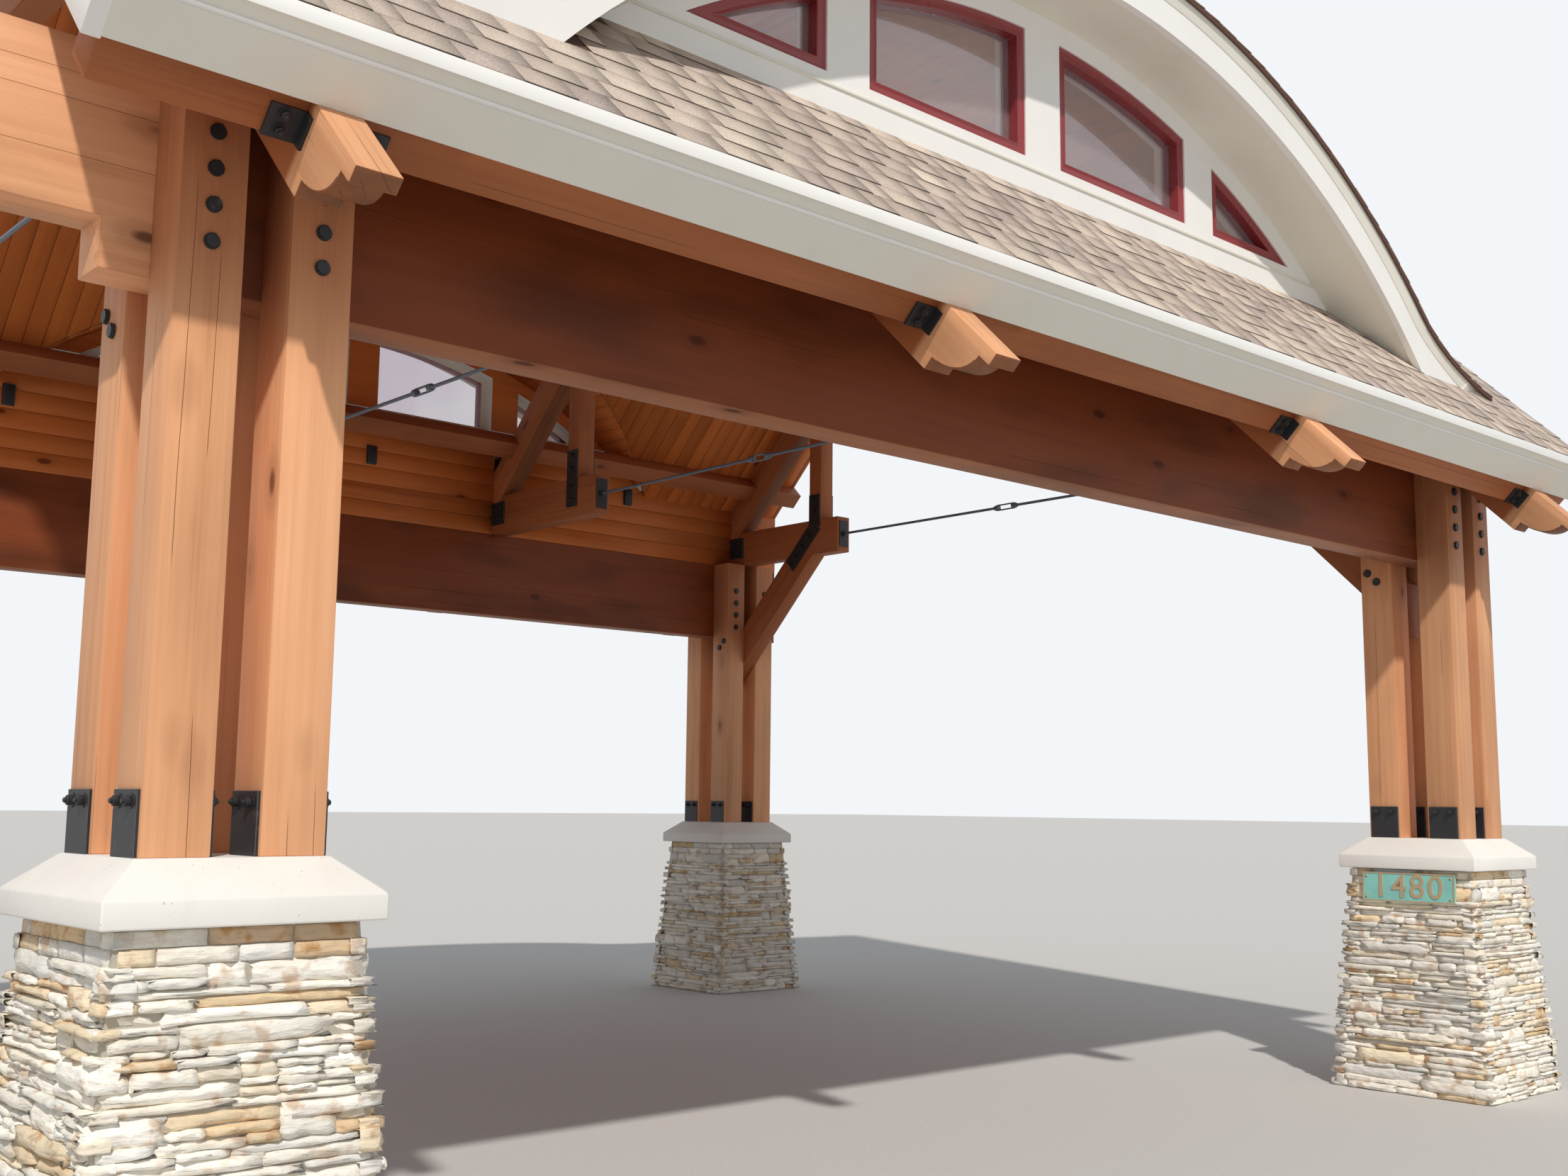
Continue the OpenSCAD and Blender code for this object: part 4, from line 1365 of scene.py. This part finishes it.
class CANOPY_OT_roof(bpy.types.Operator):
    """Laminated shingles on both slopes, and folded caps along the ridge"""

    bl_idname = "canopy.roof"
    bl_label = "Main roof"

    def execute(self, context):
        for name, side in SIDES:
            chance = np.random.default_rng(sizes().seed + 11 + side)
            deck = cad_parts["roof_" + name]
            deck.data.materials.clear()
            deck.data.materials.append(looks()["felt"])
            shingles = Shingles()
            u = FRONT - 0.03
            while u > -ROOF_N + 0.03:
                x, z = roof_point(u - shingles.step / 2, -ROOF_N)
                tabs = [tab for tab in course(chance, RAKE_Y - OVERHANG, WALL_Y)
                        if self.open_air(x, tab.start + tab.width / 2 - DORMER_Y, z)]
                if tabs:
                    across, up, thick = shingles.spread(tabs)
                    x, z = roof_point(u - up, -ROOF_N - thick, side)
                    shingles.add(tabs, x, across, z)
                u -= shingles.step
            shingles.lay("shingles_" + name)
        self.caps()
        return {"FINISHED"}

    def open_air(self, x, reach, z):
        """Whether a spot on a slope lies outside the dormer, or before its wall."""
        inside = z < arch_height(reach) - 0.02 and x < ARCH_EDGE
        return not inside or (x > WALL_FACE - 0.02 and math.hypot(reach, z - ARCH_Z) < ARCH_R)

    def caps(self):
        """Each cap is folded over the ridge and lies on the one before it."""
        wide, fold, thick = 0.15, 0.03, 0.003
        long, step, seat, rise = 0.19, 0.143, 0.018, 0.007
        cap = block((-wide, 0, -thick), (wide, 1, thick))
        with editing(cap):
            for place in (-fold, fold):
                cut(place, (1, 0, 0))
        for v in cap.data.vertices:
            v.co.z -= max(abs(v.co.x) - fold, 0) * 0.98
            v.co.x *= 0.72 if abs(v.co.x) > fold + 0.02 else 1
        shape = Shape(cap)
        x, share, lift = shape.points.T
        chance = np.random.default_rng(sizes().seed + 20)
        places, hues, tones = [], [], []
        y = RAKE_Y - OVERHANG
        while y < WALL_Y - 0.02:
            z = RIDGE_Z + ROOF_N / HALF - seat + lift + (1 - share) * rise
            places.append(np.stack([x, y + share * min(long, WALL_Y - y), z], 1))
            hues.append(float(np.clip(chance.normal(0.5, 0.12), 0, 1)))
            tones.append(chance.uniform(0, 1))
            y += step
        caps = gathered("ridge_caps", [(shape, np.array(places), {"hue": hues, "tone": tones})])
        settled(caps, "shingles", "shingles")


class CANOPY_OT_dormer_roofs(bpy.types.Operator):
    """Shingles that climb both arched dormer roofs"""

    bl_idname = "canopy.dormer_roofs"
    bl_label = "Dormer roofs"

    def execute(self, context):
        for name, side in SIDES:
            chance = np.random.default_rng(sizes().seed + 41 + side)
            shell = refined("dormer_roof_" + name, "dormer_shell_" + name, ease=0, smooth=20)
            self.coved(shell, side)
            settled(shell, "painted_trim", "cream", "dormer_roof_" + name)
            edge = arch_ribbon("dormer_edge_" + name, -0.026, 0.002, ARCH_EDGE - 0.004,
                               ARCH_EDGE + 0.006, side)
            settled(smoothed(edge), "shingles", "felt")
            shingles = Shingles()
            top, step = PATH_RUN[-1], shingles.step
            for run, half in product(np.arange(0, top, step), BOTH):
                valley = RIDGE_Z + ROOF_N / HALF - on_arch(min(run + step, top), 0)[1]
                tabs = course(chance, valley - 0.06, ARCH_EDGE + 0.008)
                if tabs:
                    across, up, thick = shingles.spread(tabs)
                    reach, z = on_arch(np.minimum(run + up, top), thick)
                    shingles.add(tabs, side * across, DORMER_Y + half * reach, z)
            shingles.lay("dormer_shingles_" + name)
        return {"FINISHED"}

    def coved(self, shell, side):
        """Leans the arched roof's front edge back towards the fascia under it."""
        for v in shell.data.vertices:
            if abs(v.co.x) > ARCH_EDGE - 0.005:
                spot = (abs(v.co.y - DORMER_Y), v.co.z)
                if np.hypot(*(PATH - spot).T).min() > 0.045:
                    v.co.x = side * (ARCH_FACE + 0.004)
        with editing(shell):
            bpy.ops.mesh.quads_convert_to_tris()
        smoothed(shell, 20)


def arch_ribbon(name, low, high, x0, x1, side):
    """A bar that follows the arched roof's outline from foot to foot."""
    bar = block((-1, 0, 0), (1, 1, 1))
    with editing(bar, "EDGE", lambda e: (ends(bar, e)[0] - ends(bar, e)[1]).length > 1.5):
        bpy.ops.mesh.subdivide(number_cuts=159)
    for v in bar.data.vertices:
        share, deep, lift = v.co
        reach, height = on_arch((1 - abs(share)) * PATH_RUN[-1], low + (high - low) * lift)
        v.co = (side * (x0 + (x1 - x0) * deep), DORMER_Y + math.copysign(reach, share), height)
    return named(outward(bar), name)


def slope_strip(u0, u1, n0, n1, y0, y1, side):
    """A long strip whose section lies in the slope's own frame, cut plumb at the ridge."""
    strip = block((0, y0, 0), (1, y1, 1))
    for v in strip.data.vertices:
        n = n0 + (n1 - n0) * v.co.z
        u = max(u0 + (u1 - u0) * v.co.x, n)
        v.co.x, v.co.z = roof_point(u, n, side)
    return outward(strip)


class CANOPY_OT_fascias(bpy.types.Operator):
    """Eave fascias, rake boards, their small mouldings and the drip edges"""

    bl_idname = "canopy.fascias"
    bl_label = "Fascias and rake boards"

    def execute(self, context):
        y0, y1 = RAKE_Y - 0.038, WALL_Y
        skin = -ROOF_N - 0.0035
        for name, side in SIDES:
            board = refined("eave_fascia_" + name, "fascia_board_" + name, 0.002, 1, 20)
            settled(board, "painted_trim", "cream", "eave_fascia_" + name)
            x, z = roof_point(FRONT - DRIP, -ROOF_N, side)
            drip = block((x - side * 0.001, y0, z - 0.048), (x + side * 0.004, y1, z + 0.002))
            parts = [
                eased(drip, 0.0015),
                slope_strip(FRONT - 0.12, FRONT - 0.032, skin, -ROOF_N, y0, y1, side),
                eased(slope_strip(FRONT - 0.02, FRONT - 0.003, BAND_N - 0.016, BAND_N + 0.001,
                                  y0, y1, side), 0.004),
            ]
            trim = smoothed(joined("eave_trim_" + name, parts))
            settled(trim, "painted_trim", "painted_trim")
            band = slope_strip(FRONT - 0.03, FRONT - 0.009, BAND_N - 0.07, BAND_N, y0, y1, side)
            settled(named(band, "eave_band_" + name), "painted_trim", "cream")
        rake = refined("rake_boards", "rake_board_pair", 0.002, 1)
        settled(rake, "painted_trim", "painted_trim", "rake_boards")
        parts = []
        for _, side in SIDES:
            for u1, n0, n1, out in ((FRONT, BAND_N, 0.008, 0.014),
                                    (FRONT - 0.01, skin, -0.214, 0.02)):
                strip = slope_strip(-0.3, u1, n0, n1, y0 - out, y0 + 0.004, side)
                parts.append(eased(strip, 0.003))
        trim = smoothed(joined("rake_trim", parts))
        settled(trim, "painted_trim", "painted_trim")
        return {"FINISHED"}


# Dormers


def arc_strip(radius0, radius1, x0, x1, reach, side):
    """A curved strip about the dormer's axis, up to an angle off upright on both sides."""
    pick()
    bpy.ops.mesh.primitive_plane_add(size=1)
    strip = bpy.context.object
    for v in strip.data.vertices:
        radius = radius0 if v.co.x < 0 else radius1
        x = x0 if v.co.y < 0 else x1
        v.co = (side * x, DORMER_Y - radius * math.sin(reach), ARCH_Z + radius * math.cos(reach))
    with editing(strip):
        bpy.ops.mesh.spin(steps=48, angle=2 * reach, center=(0, DORMER_Y, ARCH_Z),
                          axis=(1, 0, 0))
        bpy.ops.mesh.select_all(action="SELECT")
        bpy.ops.mesh.remove_doubles(threshold=0.00005)
        bpy.ops.mesh.normals_make_consistent(inside=False)
    return strip


class CANOPY_OT_dormer_fronts(bpy.types.Operator):
    """Arched fascias with their mouldings, and dormer walls with sills and base boards"""

    bl_idname = "canopy.dormer_fronts"
    bl_label = "Dormer fronts"

    def execute(self, context):
        arc_reach, line_half = math.radians(42), 2.6
        arch = refined("dormer_fascias", "arched_fascias", 0.002, 1, 20)
        settled(arch, "painted_trim", "painted_trim", "dormer_fascias")
        for name, side in SIDES:
            lining = inner_sheet("dormer_wall_" + name, "dormer_lining_" + name, 0.004)
            grained(lining, sizes().seed + 61 + side)
            settled(lining, "boards", "boards")
            wall = refined("dormer_wall_" + name, "dormer_front_" + name, 0.0015, 1, 20)
            settled(wall, "painted_trim", "painted_trim", "dormer_wall_" + name)
            soffit = arc_strip(ARCH_R + 0.003, ARCH_R + 0.01, WALL_FACE, ARCH_FACE - 0.038,
                               arc_reach, side)
            settled(smoothed(named(soffit, "dormer_soffit_" + name)), "painted_trim", "cream")
            line = block((side * (WALL_FACE - 0.004), DORMER_Y - line_half, SILL_Z - 0.062),
                         (side * (WALL_FACE + 0.009), DORMER_Y + line_half, SILL_Z - 0.048))
            line = named(eased(line, 0.004), "dormer_line_" + name)
            settled(smoothed(line), "painted_trim", "cream")
        return {"FINISHED"}


def inner_sheet(node, name, thick):
    """A thin sheet on those faces of a node that look towards the drive."""
    sheet = refined(node, name, ease=0)
    with editing(sheet, "FACE", lambda f: f.normal.x * math.copysign(1, f.center.x) > -0.9):
        bpy.ops.mesh.delete(type="FACE")
    return thickened(sheet, thick)


class CANOPY_OT_windows(bpy.types.Operator):
    """Painted window frames with a stepped sash, and their glass"""

    bl_idname = "canopy.windows"
    bl_label = "Windows"

    def execute(self, context):
        proud, sash_wide, sunk = 0.027, 0.016, 0.008
        casing = inner_sheet("window_frames", "window_inner_casings", 0.003)
        settled(casing, "painted_trim", "cream")
        sashes = refined("window_frames", "window_sashes", 0, smooth=20)
        for v in sashes.data.vertices:
            if abs(v.co.x) > BEAM_OUT - 0.02:
                v.co.x += math.copysign(proud, v.co.x)
        with editing(sashes, "FACE", lambda f: abs(f.normal.x) > 0.99):
            bpy.ops.mesh.inset(thickness=sash_wide, depth=-sunk)
        smoothed(eased(sashes, 0.003, 1, 35), 25)
        settled(sashes, "window_paint", "window_paint", "window_frames")
        panes = refined("window_glass", "window_panes", 0)
        settled(panes, "window_glass", "window_glass", "window_glass")
        return {"FINISHED"}


# Small things


class CANOPY_OT_wall_lights(bpy.types.Operator):
    """Small square wall lights with a back plate and an open lower end"""

    bl_idname = "canopy.wall_lights"
    bl_label = "Wall lights"

    def execute(self, context):
        wide, low, high, rim = 0.037, 4.314, 4.456, 0.005
        parts = []
        for (_, side), shift in product(SIDES, (-2.625, 0.1, 2.625)):
            y = DORMER_Y + shift
            body = block((side * (BEAM_IN - 0.03), y - wide, low),
                         (side * (BEAM_IN - 0.003), y + wide, high))
            with editing(body, "FACE", lambda f: abs(f.normal.z) > 0.9):
                bpy.ops.mesh.inset(thickness=rim, depth=-0.014)
            back = block((side * (BEAM_IN - 0.006), y - wide - rim, low - rim),
                         (side * BEAM_IN, y + wide + rim, high + rim))
            parts += [eased(body, 0.003), eased(back, 0.002)]
        lights = smoothed(joined("wall_light_set", parts))
        settled(lights, "black_steel", "black_steel", "wall_lights")
        return {"FINISHED"}


class CANOPY_OT_number_plate(bpy.types.Operator):
    """A weathered plate with a raised rim, four screws and plain numbers"""

    bl_idname = "canopy.number_plate"
    bl_label = "Number plate"

    def execute(self, context):
        rim_wide, rim_out, screw_x, screw_z = 0.009, 0.003, 0.265, 0.062
        rim = refined("number_plate", "number_plate_rim", 0)
        front = min(rim.data.polygons, key=lambda f: f.normal.y)
        normal, centre, index = front.normal.copy(), front.center.copy(), front.index
        with editing(rim, "FACE", lambda f: f.index != index):
            bpy.ops.mesh.delete(type="FACE")
            bpy.ops.mesh.select_all(action="SELECT")
            bpy.ops.mesh.inset(thickness=rim_wide)
            bpy.ops.mesh.delete(type="FACE")
        thickened(rim, rim_out)
        plate = eased(refined("number_plate", "number_plate_panel", 0), 0.0015, 2, 35)
        settled(smoothed(plate), "verdigris", "verdigris", "number_plate")
        side = Vector((1, 0, 0))
        up = normal.cross(side)
        numbers = self.numbers()
        numbers.matrix_world = (Matrix.Translation(centre + normal * 0.001)
                                @ Matrix((side, up, normal)).transposed().to_4x4())
        bpy.ops.object.convert(target="MESH")
        numbers = flatten(bpy.context.object)
        screw = nut_shape(0.006, 0.004)
        spots = [(centre + side * dx + up * dz, normal)
                 for dx, dz in product((-screw_x, screw_x), (-screw_z, screw_z))]
        screws = gathered("plate_screws", [(screw, aimed(screw, spots), {})])
        settled(joined("number_plate_digits", [numbers, screws, rim]), "verdigris", "bronze")
        return {"FINISHED"}

    def numbers(self):
        """Plain raised numbers, as a text."""
        pick()
        bpy.ops.object.text_add()
        text = bpy.context.object.data
        text.body = "1480"
        text.size, text.offset, text.space_character = 0.2, 0.001, 1.15
        text.extrude, text.bevel_depth, text.resolution_u = 0.0025, 0.0006, 4
        text.align_x = text.align_y = "CENTER"
        return bpy.context.object


# Stage


class CANOPY_OT_stage(bpy.types.Operator):
    """A pale floor, soft light and a camera at the photograph's angle"""

    bl_idname = "canopy.stage"
    bl_label = "Stage"

    def execute(self, context):
        self.floor()
        self.sky(context.scene)
        self.sun()
        self.camera(context.scene)
        context.scene.view_settings.view_transform = "Standard"
        return {"FINISHED"}

    def floor(self):
        pick()
        bpy.ops.mesh.primitive_plane_add(size=400, location=(0, 0, -0.002))
        floor = bpy.context.object
        floor.name = "floor"
        look = Look("floor")
        fine = look.noise(look.place(), 40.0, 3)
        tone = look.ramp(fine, (0.3, (0.6, 0.59, 0.575)), (0.7, (0.64, 0.63, 0.615)))
        floor.data.materials.append(look.finish(tone, 0.85))

    def sky(self, scene):
        """A dim sky that looks pale to the camera, in mirrors and through glass."""
        scene.world = bpy.data.worlds.new("sky")
        sky = Look("sky", scene.world)
        seen, shiny, through = (sky.node("ShaderNodeLightPath", {}, {}, f"Is {kind} Ray")
                                for kind in ("Camera", "Glossy", "Transmission"))
        pale = sky.node("ShaderNodeMath", {"operation": "ADD", "use_clamp": True},
                        {0: seen + shiny, 1: through})
        colour = sky.mix(pale, (0.36, 0.38, 0.4), (0.9, 0.92, 0.95))
        shader = sky.node("ShaderNodeBackground", {}, {"Color": colour, "Strength": 1.0})
        sky.node("ShaderNodeOutputWorld", {}, {"Surface": shader})

    def sun(self):
        """The sun where the photograph's shadows put it."""
        bpy.ops.object.light_add(type="SUN", location=(12, -10, 16))
        sun = bpy.context.object
        sun.name = "sun"
        sun.data.energy = 2.6
        sun.data.angle = math.radians(1.5)
        sun.data.color = (1.0, 0.95, 0.88)
        azimuth, height = math.radians(34.1), math.radians(44.3)
        sun.rotation_euler = (0, math.pi / 2 - height, -azimuth)

    def camera(self, scene):
        """The camera that was fitted to the photograph."""
        bpy.ops.object.camera_add(location=(8.2438, -5.5127, 1.6636))
        camera = bpy.context.object
        camera.name = "camera"
        turn, pitch, roll = (math.radians(v) for v in (47.90, 7.61, 0.583))
        camera.rotation_euler = (Matrix.Rotation(turn, 3, "Z")
                                 @ Matrix.Rotation(math.pi / 2 + pitch, 3, "X")
                                 @ Matrix.Rotation(roll, 3, "Z")).to_euler()
        camera.data.sensor_width = 36
        camera.data.lens = 37.17
        camera.data.clip_end = 500
        scene.camera = camera


STEPS = (
    CANOPY_OT_piers, CANOPY_OT_caps, CANOPY_OT_timbers, CANOPY_OT_plates, CANOPY_OT_bolts,
    CANOPY_OT_tie_rods, CANOPY_OT_ceiling, CANOPY_OT_plank_walls, CANOPY_OT_roof,
    CANOPY_OT_dormer_roofs, CANOPY_OT_fascias, CANOPY_OT_dormer_fronts, CANOPY_OT_windows,
    CANOPY_OT_wall_lights, CANOPY_OT_number_plate, CANOPY_OT_stage,
)


class CANOPY_PT_panel(bpy.types.Panel):
    """Sizes, colours and building steps of the canopy"""

    bl_idname = "CANOPY_PT_panel"
    bl_label = "Porch canopy"
    bl_space_type = "VIEW_3D"
    bl_region_type = "UI"
    bl_category = "Canopy"

    def draw(self, context):
        for group in (context.scene.canopy_sizes, context.scene.canopy_colours):
            column = self.layout.column()
            for name in group.__annotations__:
                column.prop(group, name)
        for step in STEPS:
            self.layout.operator(step.bl_idname)


CLASSES = (CanopySizes, CanopyColours, *STEPS, CANOPY_PT_panel)


def register():
    for made in CLASSES:
        bpy.utils.register_class(made)
    bpy.types.Scene.canopy_sizes = PointerProperty(type=CanopySizes)
    bpy.types.Scene.canopy_colours = PointerProperty(type=CanopyColours)


def unregister():
    del bpy.types.Scene.canopy_colours
    del bpy.types.Scene.canopy_sizes
    for made in reversed(CLASSES):
        bpy.utils.unregister_class(made)


def main():
    register()
    for step in STEPS:
        group, name = step.bl_idname.split(".")
        getattr(getattr(bpy.ops, group), name)()


if __name__ == "__main__":
    main()
